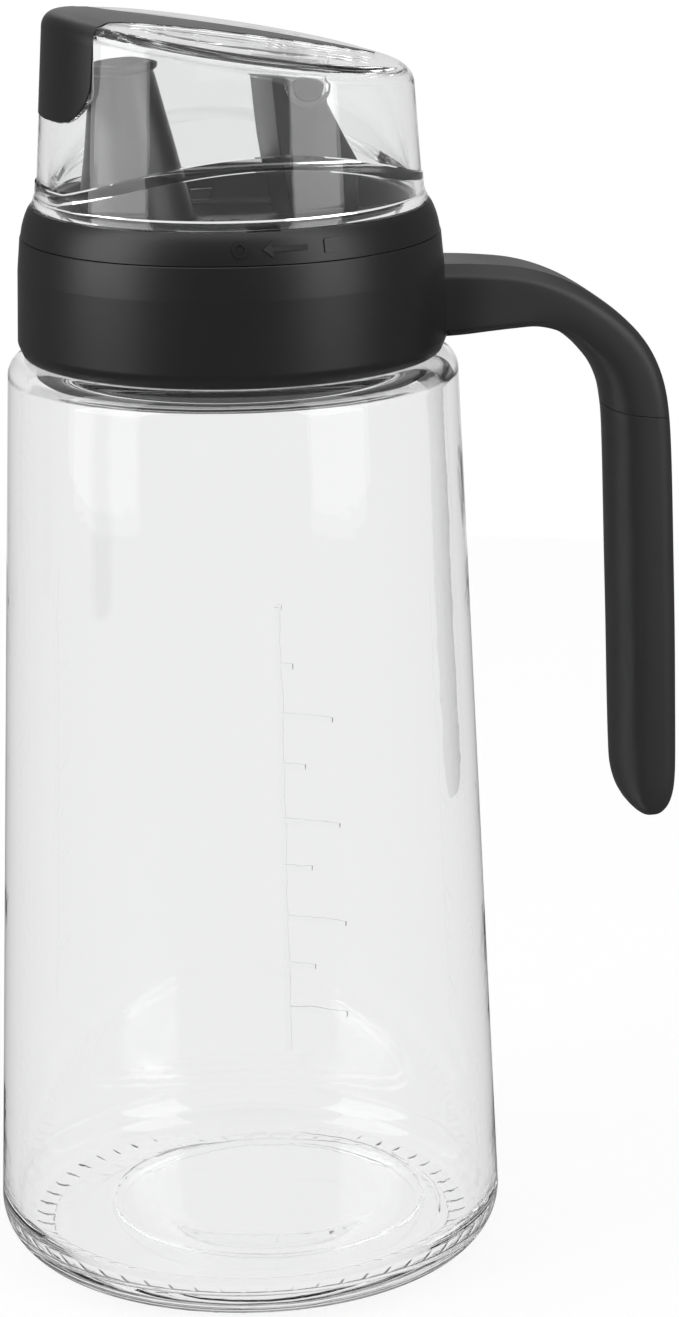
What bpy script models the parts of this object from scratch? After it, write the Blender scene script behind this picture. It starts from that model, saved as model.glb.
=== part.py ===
# Oil dispenser bottle: glass body, black collar with handle, and a pouring lid under a clear flip cover.
# Metres, +Z up. The origin is on the table under the middle of the whole object's box.
# The handle points to +X, the spout to -X. Pieces are built round the bottle's axis and moved at the end.

import math

import bmesh
import bpy
from mathutils import Matrix, Vector

MM = 0.001
STEPS = 60                       # sides of the large turned pieces
SMALL_STEPS = 28                 # sides of the spout and the pivots
OVERRUN = 4.0 * MM               # how far a cutter runs past what it cuts
CLEARANCE = 0.3 * MM             # between pieces that seat on each other
SNUG = 0.15 * MM                 # between the beak and the recess it lies in
WELD = 0.01 * MM                 # points of one mesh closer than this become one

# Glass body
NECK_RADIUS = 34.0 * MM
NECK_WALL = 2.6 * MM
RIM_ROUND = 1.0 * MM
BEAD_DEPTH = 1.3 * MM
BEAD_HEIGHT = 2.4 * MM
BASE_RADIUS = 48.0 * MM
BASE_ROUND = 9.2 * MM
SHOULDER_Z = 172.0 * MM
NECK_HEIGHT = 17.5 * MM
NECK_TOP_Z = SHOULDER_Z + NECK_HEIGHT
SHOULDER_WIDTH = 6.85 * MM
SHOULDER_RADIUS = NECK_RADIUS + SHOULDER_WIDTH    # of the cone, where it would meet the shoulder
SHOULDER_ROUND = 3.6 * MM
GLASS_WALL = 2.7 * MM
FLOOR_THICKNESS = 5.0 * MM
HEEL_ROUND = 6.5 * MM
PUSH_UP_HEIGHT = 4.2 * MM
BEARING_WIDTH = 5.3 * MM
PUSH_UP_RIM_WIDTH = 4.5 * MM
BEARING_INNER_RADIUS = BASE_RADIUS - BASE_ROUND - BEARING_WIDTH
PUSH_UP_RADIUS = BEARING_INNER_RADIUS - PUSH_UP_RIM_WIDTH

# Lid's hidden socket and the handle collar round it
THREAD_ROOM = 0.9 * MM
SOCKET_WALL = 1.5 * MM
SOCKET_HEIGHT = 9.0 * MM
SOCKET_BOTTOM_Z = NECK_TOP_Z - SOCKET_HEIGHT
SOCKET_RADIUS = NECK_RADIUS + THREAD_ROOM
COLLAR_BOTTOM_Z = SHOULDER_Z + CLEARANCE
COLLAR_RISE = 4.1 * MM           # above the neck's rim
COLLAR_TOP_Z = NECK_TOP_Z + COLLAR_RISE
COLLAR_BORE_RADIUS = SOCKET_RADIUS + SOCKET_WALL + CLEARANCE
COLLAR_UPPER_WALL = 1.3 * MM
COLLAR_MIDDLE_WALL = 1.85 * MM
COLLAR_LOWER_WALL = 2.25 * MM
COLLAR_UPPER_RADIUS = COLLAR_BORE_RADIUS + COLLAR_UPPER_WALL
COLLAR_MIDDLE_RADIUS = COLLAR_BORE_RADIUS + COLLAR_MIDDLE_WALL
COLLAR_LOWER_RADIUS = COLLAR_BORE_RADIUS + COLLAR_LOWER_WALL
COLLAR_TAPER_HEIGHT = 6.0 * MM
COLLAR_LOWER_ROUND = 1.6 * MM
COLLAR_ROUND_HEIGHT = 4.2 * MM
LIP_HEIGHT = 3.6 * MM
LIP_RADIUS = NECK_RADIUS + CLEARANCE
BEAD_Z = COLLAR_BOTTOM_Z + LIP_HEIGHT + CLEARANCE

# Handle
HANDLE_WIDTH = 18.5 * MM
HANDLE_EDGE_ROUND = 4.4 * MM
HANDLE_LENGTH = 43.55 * MM       # from the collar's outside to the outermost point
HANDLE_ROOT_DEPTH = 6.7 * MM     # how far it starts inside the collar, where the bore trims it
HANDLE_REACH = COLLAR_LOWER_RADIUS + HANDLE_LENGTH
HANDLE_ROOT_X = COLLAR_BORE_RADIUS - HANDLE_ROOT_DEPTH
HANDLE_DROP = 6.3 * MM           # from the collar's top to the handle's
HANDLE_HEIGHT = 108.4 * MM
HANDLE_TOP_Z = COLLAR_TOP_Z - HANDLE_DROP
HANDLE_BOTTOM_Z = HANDLE_TOP_Z - HANDLE_HEIGHT
AXIS_X = (BASE_RADIUS - HANDLE_REACH) / 2    # where the bottle's axis stands in the object's frame
SEAM_DROP = 30.1 * MM
SEAM_Z = HANDLE_TOP_Z - SEAM_DROP
SEAM_TILT = math.radians(8.0)
TONGUE_LENGTH = 42.0 * MM
TONGUE_DEPTH = 4.6 * MM
TONGUE_WIDTH = 9.0 * MM

# Lid base: tapered band, recessed deck, spout and hinge tower
BAND_STEP = 0.15 * MM
BAND_BOTTOM_Z = COLLAR_TOP_Z + CLEARANCE
BAND_LOWER_RADIUS = COLLAR_UPPER_RADIUS - BAND_STEP
BAND_HEIGHT = 5.4 * MM
LEDGE_Z = BAND_BOTTOM_Z + BAND_HEIGHT
DECK_THICKNESS = 1.9 * MM
SEAL_THICKNESS = 1.8 * MM
DECK_Z = NECK_TOP_Z + SEAL_THICKNESS + 2 * CLEARANCE + DECK_THICKNESS
WELL_INSET = 1.5 * MM
WELL_RADIUS = NECK_RADIUS - WELL_INSET
LID_LIP_THICKNESS = 1.1 * MM
LID_LIP_RISE = 1.0 * MM
LID_LIP_TOP_Z = LEDGE_Z + LID_LIP_RISE

SPOUT_X = -16.8 * MM             # where its axis meets the deck
SPOUT_LEAN = math.radians(4.2)
SPOUT_BASE_RADIUS = 11.2 * MM
SPOUT_NECK_RADIUS = 5.5 * MM
SPOUT_HEIGHT = 31.2 * MM
SPOUT_LIP_HEIGHT = 1.9 * MM
SPOUT_WALL = 1.3 * MM
SPOUT_ROOT_FILLET = 1.2 * MM
SPOUT_SINK = 0.9 * MM            # how far the spout's foot runs into the deck
VENT_RADIUS = 1.2 * MM
VENT_X = 1.0 * MM

PIVOT_X = 12.0 * MM
PIVOT_HEIGHT = 27.2 * MM         # above the deck
PIVOT_Z = DECK_Z + PIVOT_HEIGHT
TRUNNION_RADIUS = 2.7 * MM
EYE_WALL = 0.9 * MM
TOWER_HALF_WIDTH = 11.7 * MM
TOWER_WALL = 2.0 * MM
TOWER_ROUND = 3.5 * MM           # of its top, round the pivot
TOWER_ROUND_START = math.radians(120)
TOWER_ROUND_END = math.radians(20)
TOWER_FRONT_RISE = 1.8 * MM      # of the front face's top, above the pivot
TOWER_FRONT_Z = PIVOT_Z + TOWER_FRONT_RISE
TOWER_TOP_FRONT_X = 5.9 * MM
TOWER_FOOT_FRONT_X = 11.8 * MM
TOWER_REAR_X = 21.2 * MM
TOWER_SHOULDER_HEIGHT = 13.2 * MM
TOWER_SHOULDER_Z = DECK_Z + TOWER_SHOULDER_HEIGHT

TAB_WIDTH = 5.4 * MM
TAB_THICKNESS = 1.0 * MM
TAB_DEPTH = 4.6 * MM
WINDOW_WIDTH = 4.4 * MM
WINDOW_HEIGHT = 2.2 * MM
WINDOW_SILL = 0.8 * MM
WINDOW_Z = DECK_Z + WINDOW_SILL

# Clear skirt and flip cover
SKIRT_FOOT_Z = LEDGE_Z + CLEARANCE
SKIRT_BORE_RADIUS = WELL_RADIUS + LID_LIP_THICKNESS + CLEARANCE
SKIRT_FOOT_WALL = 1.85 * MM
SKIRT_FLARE = 0.8 * MM
SKIRT_FOOT_RADIUS = SKIRT_BORE_RADIUS + SKIRT_FOOT_WALL
SKIRT_RADIUS = SKIRT_FOOT_RADIUS - SKIRT_FLARE    # above the flared foot
SKIRT_FLARE_HEIGHT = 3.2 * MM
SKIRT_WALL = 1.5 * MM
LEDGE_MARGIN = 0.15 * MM
BAND_UPPER_RADIUS = SKIRT_FOOT_RADIUS + LEDGE_MARGIN
TAB_INNER_Y = SKIRT_BORE_RADIUS + CLEARANCE / 2
COVER_STEP = 0.35 * MM           # how far the skirt stands out past the cover
COVER_RADIUS = SKIRT_RADIUS - COVER_STEP          # outside, at the lowest point of the split
DRAFT = 0.068                    # fall of the radius for each unit of height
COVER_WALL = 1.8 * MM
ROOF_RISE = 9.1 * MM             # above the pivot, outside, on the axis
ROOF_Z = PIVOT_Z + ROOF_RISE
ROOF_THICKNESS = 2.0 * MM
ROOF_SLOPE = 0.17                # down towards the handle
ROOF_CROWN = 1.3 * MM
ROOF_ROUND = 3.4 * MM
SKIRT_LOW_HEIGHT = 4.4 * MM      # of the split over the ledge, at the spout and at the back
SKIRT_ARCH_RISE = 8.2 * MM       # of the split's arch at the two sides
SPLIT_LOW_Z = LEDGE_Z + SKIRT_LOW_HEIGHT
SPLIT_PEAK_Z = SPLIT_LOW_Z + SKIRT_ARCH_RISE
SPLIT_PEAK_X = 1.5 * MM
SPLIT_RUN = 32.9 * MM            # from the peak to where the arch reaches its low height
SPLIT_BEVEL = 1.6                # height over depth of the bevelled joint faces
SPLIT_GAP = 0.2 * MM             # measured upright between the outer edges

CHEEK_THICKNESS = 1.8 * MM
CHEEK_FRONT_X = -16.2 * MM
CHEEK_INNER_Y = TOWER_HALF_WIDTH + CLEARANCE
EYE_BOSS = 0.3 * MM              # how far the eye stands out of each side of its cheek

BEAK_HALF_WIDTH = 19.3 * MM
BEAK_DROP = 14.0 * MM            # from the roof on the axis to the beak's lower edge
BEAK_BOTTOM_Z = ROOF_Z - BEAK_DROP
BEAK_CORNER = 8.0 * MM
BEAK_THICKNESS = 0.9 * MM
BEAK_PROUD = 0.12 * MM
BEAK_TIP_X = 27.0 * MM

# Seal
SEAL_INSET = 0.1 * MM
SEAL_OVERHANG = 0.4 * MM
SEAL_INNER_RADIUS = NECK_RADIUS - NECK_WALL + SEAL_INSET
SEAL_OUTER_RADIUS = NECK_RADIUS + SEAL_OVERHANG

# Outlines as shares of the sizes above
# Handle sections: outer point (x, z), inner point (x, z), width
HANDLE_SECTION_SHARES = (
    (0.0, 1.0, 0.0, 0.874, 1), (0.19, 0.996, 0.19, 0.877, 1), (0.324, 0.991, 0.305, 0.881, 1),
    (0.43, 0.984, 0.4, 0.884, 1), (0.528, 0.971, 0.482, 0.883, 1), (0.623, 0.951, 0.562, 0.87, 1),
    (0.709, 0.925, 0.629, 0.847, 1), (0.785, 0.897, 0.68, 0.82, 1), (0.853, 0.863, 0.716, 0.795, 1),
    (0.907, 0.826, 0.741, 0.767, 1), (0.945, 0.78, 0.752, 0.738, 1), (0.966, 0.724, 0.76, 0.702, 1),
    (0.977, 0.637, 0.766, 0.628, 1), (0.987, 0.481, 0.773, 0.476, 1), (0.994, 0.333, 0.781, 0.331, 1),
    (0.998, 0.204, 0.787, 0.203, 1), (1.0, 0.112, 0.792, 0.115, 1), (0.998, 0.071, 0.798, 0.077, 1),
    (0.99, 0.042, 0.813, 0.046, 0.98), (0.973, 0.02, 0.836, 0.022, 0.92), (0.947, 0.006, 0.865, 0.006, 0.78),
    (0.92, 0.0, 0.891, 0.0, 0.52))
GRIP_MIDDLE_SHARE = 0.872        # of the handle's run, at the seam
TOWER_FRONT_SHARES = ((0.0, 0.0), (0.05, 0.19), (0.19, 0.44), (0.39, 0.66), (0.7, 0.87), (1.0, 1.0))
CHEEK_LOWER_SHARES = ((0.0, 0.0), (0.115, 0.13), (0.22, 0.4), (0.34, 0.54), (0.47, 0.62), (0.63, 0.76), (0.8, 0.9))
BAND_SHARES = ((1.0, 0.0), (0.85, 0.3), (0.6, 0.6), (0.3, 0.85), (0.0, 1.0))
BEAK_TAPER_SHARES = (
    (0.0, 1.0), (0.03, 0.84), (0.065, 0.68), (0.12, 0.54), (0.215, 0.465), (0.375, 0.38), (0.542, 0.315),
    (0.677, 0.25), (0.813, 0.17), (0.9, 0.11), (1.0, 0.0))


def clear_scene():
    for item in list(bpy.data.objects):
        bpy.data.objects.remove(item, do_unlink=True)


def new_collection(name):
    collection = bpy.data.collections.new(name)
    bpy.context.scene.collection.children.link(collection)
    return collection


def add_object(name, data, collection, location=(0, 0, 0), rotation=(0, 0, 0)):
    item = bpy.data.objects.new(name, data)
    item.location = location
    item.rotation_euler = rotation
    collection.objects.link(item)
    return item


def to_mesh(item, weld=WELD):
    """Replace an object by the plain mesh it evaluates to, with its seams welded."""
    bpy.context.view_layer.update()
    graph = bpy.context.evaluated_depsgraph_get()
    mesh = bpy.data.meshes.new_from_object(item.evaluated_get(graph))
    shape = bmesh.new()
    shape.from_mesh(mesh)
    bmesh.ops.remove_doubles(shape, verts=shape.verts, dist=weld)
    bmesh.ops.recalc_face_normals(shape, faces=shape.faces)
    shape.to_mesh(mesh)
    shape.free()
    name = item.name
    collection = item.users_collection[0]
    matrix = item.matrix_world.copy()
    bpy.data.objects.remove(item, do_unlink=True)
    plain = add_object(name, mesh, collection)
    plain.matrix_world = matrix
    return plain


def turned(name, profile, collection, steps=STEPS, closed=True, location=(0, 0, 0), rotation=(0, 0, 0)):
    """A turned solid from (radius, height) points that run down the outer side."""
    points = [(radius, 0, height) for radius, height in profile]
    edges = [(i, i + 1) for i in range(len(points) - 1)]
    if closed:
        edges.append((len(points) - 1, 0))
    mesh = bpy.data.meshes.new(name)
    mesh.from_pydata(points, edges, [])
    item = add_object(name, mesh, collection, location, rotation)
    screw = item.modifiers.new("turn", "SCREW")
    screw.steps = steps
    screw.render_steps = steps
    screw.use_merge_vertices = True
    screw.merge_threshold = WELD
    return to_mesh(item)


def plate(name, outline, thickness, collection, location=(0, 0, 0), rotation=(math.pi / 2, 0, 0)):
    """A flat outline in its local XY plane, with half the thickness on each side."""
    curve = bpy.data.curves.new(name, "CURVE")
    curve.dimensions = "2D"
    curve.fill_mode = "BOTH"
    curve.extrude = thickness / 2
    spline = curve.splines.new("POLY")
    spline.points.add(len(outline) - 1)
    for point, (across, up) in zip(spline.points, outline):
        point.co = (across, up, 0, 1)
    spline.use_cyclic_u = True
    return to_mesh(add_object(name, curve, collection, location, rotation))


def box(name, low, high, collection, location=(0, 0, 0), rotation=(0, 0, 0)):
    mesh = bpy.data.meshes.new(name)
    shape = bmesh.new()
    size = [b - a for a, b in zip(low, high)]
    centre = [(a + b) / 2 for a, b in zip(low, high)]
    bmesh.ops.create_cube(shape, size=1.0, matrix=Matrix.Translation(centre) @ Matrix.Diagonal((*size, 1)))
    shape.to_mesh(mesh)
    shape.free()
    return add_object(name, mesh, collection, location, rotation)


def rod(name, radius, length, collection, location, rotation=(math.pi / 2, 0, 0), steps=SMALL_STEPS):
    mesh = bpy.data.meshes.new(name)
    shape = bmesh.new()
    bmesh.ops.create_cone(shape, cap_ends=True, segments=steps, radius1=radius, radius2=radius, depth=length)
    shape.to_mesh(mesh)
    shape.free()
    return add_object(name, mesh, collection, location, rotation)


def combine(item, other, operation):
    change = item.modifiers.new(other.name, "BOOLEAN")
    change.operation = operation
    change.solver = "EXACT"
    change.object = other
    other.hide_render = True
    other.display_type = "WIRE"


def cut(item, other):
    combine(item, other, "DIFFERENCE")


def join(item, other):
    combine(item, other, "UNION")


def keep_inside(item, other):
    combine(item, other, "INTERSECT")


def finish(item, material, sharp_degrees=35.0):
    item.data.materials.clear()
    item.data.materials.append(material)
    item.data.shade_smooth()
    item.data.set_sharp_from_angle(angle=math.radians(sharp_degrees))


def arc(centre, radius, start, end, count):
    """Points of an arc round (radius, height), angles in degrees from the outward direction."""
    points = []
    for i in range(count + 1):
        angle = math.radians(start + (end - start) * i / count)
        points.append((centre[0] + radius * math.cos(angle), centre[1] + radius * math.sin(angle)))
    return points


def surface_material(name, colour, roughness, metallic=0.0, transmission=0.0, ior=1.5):
    material = bpy.data.materials.new(name)
    material.use_nodes = True
    shader = material.node_tree.nodes["Principled BSDF"]
    shader.inputs["Base Color"].default_value = (*colour, 1)
    shader.inputs["Roughness"].default_value = roughness
    shader.inputs["Metallic"].default_value = metallic
    shader.inputs["Transmission Weight"].default_value = transmission
    shader.inputs["IOR"].default_value = ior
    return material


def clear_glass():
    return surface_material("clear_glass", (0.95, 0.97, 0.97), 0.02, transmission=1.0, ior=1.47)


def clear_plastic():
    return surface_material("clear_plastic", (0.93, 0.94, 0.95), 0.04, transmission=1.0, ior=1.52)


def black_plastic():
    return surface_material("black_plastic", (0.018, 0.018, 0.019), 0.38)


def grey_silicone():
    return surface_material("grey_silicone", (0.62, 0.62, 0.6), 0.55)


def cone_radius(height):
    """Outside radius of the glass body's straight side."""
    return BASE_RADIUS + (SHOULDER_RADIUS - BASE_RADIUS) * height / SHOULDER_Z


def glass_outside():
    """From the neck's rim down to the middle of the push-up."""
    bead_mid = BEAD_Z + BEAD_HEIGHT / 2
    points = [(NECK_RADIUS - RIM_ROUND, NECK_TOP_Z), (NECK_RADIUS, NECK_TOP_Z - RIM_ROUND)]
    points += [(NECK_RADIUS, BEAD_Z + BEAD_HEIGHT), (NECK_RADIUS + BEAD_DEPTH, bead_mid)]
    points += [(NECK_RADIUS, BEAD_Z), (NECK_RADIUS, SHOULDER_Z)]
    corner = (cone_radius(SHOULDER_Z - SHOULDER_ROUND) - SHOULDER_ROUND, SHOULDER_Z - SHOULDER_ROUND)
    points += arc(corner, SHOULDER_ROUND, 90, 0, 5)
    heel = (cone_radius(BASE_ROUND) - BASE_ROUND, BASE_ROUND)
    points += arc(heel, BASE_ROUND, 0, -90, 7)
    rise = BEARING_INNER_RADIUS - PUSH_UP_RADIUS
    points += [(BEARING_INNER_RADIUS, 0), (PUSH_UP_RADIUS + rise / 3, PUSH_UP_HEIGHT / 2)]
    points += [(PUSH_UP_RADIUS, PUSH_UP_HEIGHT * 0.8), (PUSH_UP_RADIUS / 2, PUSH_UP_HEIGHT), (0, PUSH_UP_HEIGHT)]
    return points


def glass_inside():
    """From the middle of the floor up to the neck's rim."""
    floor_z = PUSH_UP_HEIGHT + FLOOR_THICKNESS
    trough_z = FLOOR_THICKNESS * 1.25
    heel = (cone_radius(BASE_ROUND) - GLASS_WALL - HEEL_ROUND, trough_z + HEEL_ROUND)
    points = [(0, floor_z), (PUSH_UP_RADIUS / 2, floor_z), (PUSH_UP_RADIUS, (floor_z + trough_z) / 2)]
    points += arc(heel, HEEL_ROUND, -90, 0, 5)
    corner_round = SHOULDER_ROUND - GLASS_WALL / 2
    inner_z = SHOULDER_Z - GLASS_WALL
    side = cone_radius(inner_z - corner_round) - GLASS_WALL
    points += arc((side - corner_round, inner_z - corner_round), corner_round, 0, 90, 4)
    bore = NECK_RADIUS - NECK_WALL
    points += [(bore + GLASS_WALL / 2, inner_z), (bore, SHOULDER_Z), (bore, NECK_TOP_Z - RIM_ROUND)]
    points += [(bore + RIM_ROUND, NECK_TOP_Z)]
    return points


def build_glass_bottle(parts, cutters):
    profile = glass_outside() + glass_inside()
    bottle = turned("glass_bottle", profile, parts)
    finish(bottle, clear_glass())
    return bottle


def rounded_section(outer, inner, width, corner, corner_steps=4):
    """A rounded rectangle between two points of the side view, as a ring of points in space."""
    outer = Vector((outer[0], 0, outer[1]))
    inner = Vector((inner[0], 0, inner[1]))
    middle = (outer + inner) / 2
    out = (outer - inner).normalized()
    side = Vector((0, 1, 0))
    half_depth = (outer - inner).length / 2
    half_width = width / 2
    radius = min(corner, half_depth * 0.9, half_width * 0.9)
    ring = []
    for quarter in range(4):
        turn = math.pi / 2 * quarter
        across = math.copysign(1, math.cos(turn + math.pi / 4))
        along = math.copysign(1, math.sin(turn + math.pi / 4))
        for i in range(corner_steps + 1):
            angle = turn + math.pi / 2 * i / corner_steps
            ring.append(middle + out * (across * (half_depth - radius) + radius * math.cos(angle))
                        + side * (along * (half_width - radius) + radius * math.sin(angle)))
    return ring


def loft(name, rings, collection):
    """A solid through rings that have the same number of points, flat at both ends."""
    count = len(rings[0])
    points = [point for ring in rings for point in ring]
    faces = [list(range(count)), [len(points) - 1 - i for i in range(count)]]
    for level in range(len(rings) - 1):
        first = level * count
        for i in range(count):
            after = (i + 1) % count
            faces.append((first + after, first + i, first + count + i, first + count + after))
    mesh = bpy.data.meshes.new(name)
    mesh.from_pydata(points, [], faces)
    return to_mesh(add_object(name, mesh, collection))


def handle_solid(name, collection):
    run = HANDLE_REACH - HANDLE_ROOT_X
    rise = HANDLE_TOP_Z - HANDLE_BOTTOM_Z
    rings = []
    for outer_x, outer_z, inner_x, inner_z, wide in HANDLE_SECTION_SHARES:
        outer = (HANDLE_ROOT_X + run * outer_x, HANDLE_BOTTOM_Z + rise * outer_z)
        inner = (HANDLE_ROOT_X + run * inner_x, HANDLE_BOTTOM_Z + rise * inner_z)
        rings.append(rounded_section(outer, inner, HANDLE_WIDTH * wide, HANDLE_EDGE_ROUND))
    return loft(name, rings, collection)


def grip_middle_x():
    return HANDLE_ROOT_X + (HANDLE_REACH - HANDLE_ROOT_X) * GRIP_MIDDLE_SHARE


def seam_box(name, low_z, high_z, cutters):
    """A slab across the grip, tilted like the seam; heights are measured from the seam."""
    reach = HANDLE_REACH
    low = (-reach, -HANDLE_WIDTH, low_z)
    high = (reach, HANDLE_WIDTH, high_z)
    return box(name, low, high, cutters, (grip_middle_x(), 0, SEAM_Z), (0, SEAM_TILT, 0))


def tongue_box(name, room, low_z, high_z, cutters):
    half_depth = TONGUE_DEPTH / 2 + room
    half_width = TONGUE_WIDTH / 2 + room
    low = (-half_depth, -half_width, low_z)
    high = (half_depth, half_width, high_z)
    return box(name, low, high, cutters, (grip_middle_x(), 0, SEAM_Z))


def build_handle_collar(parts, cutters):
    shoulder = COLLAR_LOWER_RADIUS - COLLAR_LOWER_ROUND
    outside = [(0, COLLAR_TOP_Z), (COLLAR_UPPER_RADIUS, COLLAR_TOP_Z)]
    outside.append((COLLAR_MIDDLE_RADIUS, COLLAR_TOP_Z - COLLAR_TAPER_HEIGHT))
    for i in range(6):
        angle = math.radians(90 * i / 5)
        outside.append((shoulder + COLLAR_LOWER_ROUND * math.cos(angle),
                        COLLAR_BOTTOM_Z + COLLAR_ROUND_HEIGHT * (1 - math.sin(angle))))
    outside.append((0, COLLAR_BOTTOM_Z))
    collar = turned("handle_collar", outside, parts, closed=False)

    arm = handle_solid("handle_arm_tool", cutters)
    below_seam = seam_box("below_seam_tool", -HANDLE_REACH * 2, 0, cutters)
    cut(arm, below_seam)
    tongue = tongue_box("tongue_tool", 0, -TONGUE_LENGTH, OVERRUN, cutters)
    join(arm, tongue)
    join(collar, arm)

    lip_top = COLLAR_BOTTOM_Z + LIP_HEIGHT
    bore = [(0, COLLAR_TOP_Z + OVERRUN), (COLLAR_BORE_RADIUS, COLLAR_TOP_Z + OVERRUN)]
    bore += [(COLLAR_BORE_RADIUS, lip_top), (LIP_RADIUS, lip_top)]
    bore += [(LIP_RADIUS, COLLAR_BOTTOM_Z - OVERRUN), (0, COLLAR_BOTTOM_Z - OVERRUN)]
    cut(collar, turned("collar_bore_tool", bore, cutters, closed=False))
    finish(collar, black_plastic())
    return collar


def build_handle_grip(parts, cutters):
    grip = handle_solid("handle_grip", parts)
    cut(grip, seam_box("above_seam_tool", -CLEARANCE, HANDLE_REACH * 2, cutters))
    socket = tongue_box("grip_socket_tool", CLEARANCE, -TONGUE_LENGTH - CLEARANCE, OVERRUN * 2, cutters)
    cut(grip, socket)
    finish(grip, black_plastic())
    return grip


def lid_ring_profile():
    band = BAND_LOWER_RADIUS - BAND_UPPER_RADIUS
    rise = LEDGE_Z - BAND_BOTTOM_Z
    lip = WELL_RADIUS + LID_LIP_THICKNESS
    points = [(0, DECK_Z), (WELL_RADIUS, DECK_Z), (WELL_RADIUS, LID_LIP_TOP_Z), (lip, LID_LIP_TOP_Z), (lip, LEDGE_Z)]
    for across, up in reversed(BAND_SHARES):
        points.append((BAND_UPPER_RADIUS + band * across, BAND_BOTTOM_Z + rise * up))
    outer = SOCKET_RADIUS + SOCKET_WALL
    points += [(outer, BAND_BOTTOM_Z), (outer, SOCKET_BOTTOM_Z), (SOCKET_RADIUS, SOCKET_BOTTOM_Z)]
    points += [(SOCKET_RADIUS, DECK_Z - DECK_THICKNESS), (0, DECK_Z - DECK_THICKNESS)]
    return points


def spout_place():
    return {"location": (SPOUT_X, 0, DECK_Z), "rotation": (0, -SPOUT_LEAN, 0), "steps": SMALL_STEPS}


def spout_radius(height):
    """Outside radius of the spout at a height above the deck."""
    return SPOUT_BASE_RADIUS + (SPOUT_NECK_RADIUS - SPOUT_BASE_RADIUS) * height / SPOUT_HEIGHT


def spout_outside():
    under_lip = SPOUT_HEIGHT - SPOUT_LIP_HEIGHT
    lip = arc((SPOUT_NECK_RADIUS, SPOUT_HEIGHT - SPOUT_LIP_HEIGHT / 2), SPOUT_LIP_HEIGHT / 2, 90, -90, 6)
    points = [(0, SPOUT_HEIGHT)] + lip
    points += [(spout_radius(under_lip), under_lip), (spout_radius(SPOUT_ROOT_FILLET), SPOUT_ROOT_FILLET)]
    points += [(SPOUT_BASE_RADIUS + SPOUT_ROOT_FILLET, 0), (SPOUT_BASE_RADIUS + SPOUT_ROOT_FILLET, -SPOUT_SINK)]
    points += [(0, -SPOUT_SINK)]
    return points


def spout_bore():
    low = -DECK_THICKNESS - OVERRUN / 2
    top = SPOUT_HEIGHT + OVERRUN
    mouth = SPOUT_NECK_RADIUS - SPOUT_WALL
    return [(0, top), (mouth, top), (mouth, SPOUT_HEIGHT - SPOUT_LIP_HEIGHT),
            (SPOUT_BASE_RADIUS - SPOUT_WALL, -SPOUT_SINK), (SPOUT_BASE_RADIUS - SPOUT_WALL, low), (0, low)]


def roof_z(x, y):
    """Outside height of the cover's roof over a point."""
    return ROOF_Z - ROOF_SLOPE * x - ROOF_CROWN * (x * x + y * y) / COVER_RADIUS ** 2


def tower_front(rise, base_z, inset):
    """The front face in side view, from the top down to its foot."""
    points = []
    for across, up in TOWER_FRONT_SHARES:
        points.append((TOWER_FOOT_FRONT_X + (TOWER_TOP_FRONT_X - TOWER_FOOT_FRONT_X) * up + inset,
                       base_z + rise * across))
    return points


def tower_side():
    """The tower's side view as (x, z): front edge up, round the pivot, rear edge down."""
    foot_z = DECK_Z - SPOUT_SINK
    outline = tower_front(TOWER_FRONT_Z - foot_z, foot_z, 0)
    start, end = math.degrees(TOWER_ROUND_START), math.degrees(TOWER_ROUND_END)
    outline += arc((PIVOT_X, PIVOT_Z), TOWER_ROUND, start, end, 6)
    outline += [(PIVOT_X + TOWER_ROUND * 1.1, PIVOT_Z - TOWER_ROUND)]
    outline += [(TOWER_REAR_X - TOWER_ROUND * 0.6, TOWER_SHOULDER_Z + TOWER_ROUND * 1.15)]
    outline += [(TOWER_REAR_X, TOWER_SHOULDER_Z), (TOWER_REAR_X, foot_z)]
    return outline


def tower_room():
    """The hollow behind the tower's front wall and under its top, open to the back."""
    foot_z = DECK_Z + TOWER_WALL / 2
    outline = tower_front(PIVOT_Z - foot_z, foot_z, TOWER_WALL)
    outline += [(TOWER_REAR_X + OVERRUN, PIVOT_Z - TRUNNION_RADIUS), (TOWER_REAR_X + OVERRUN, foot_z)]
    return outline


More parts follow.
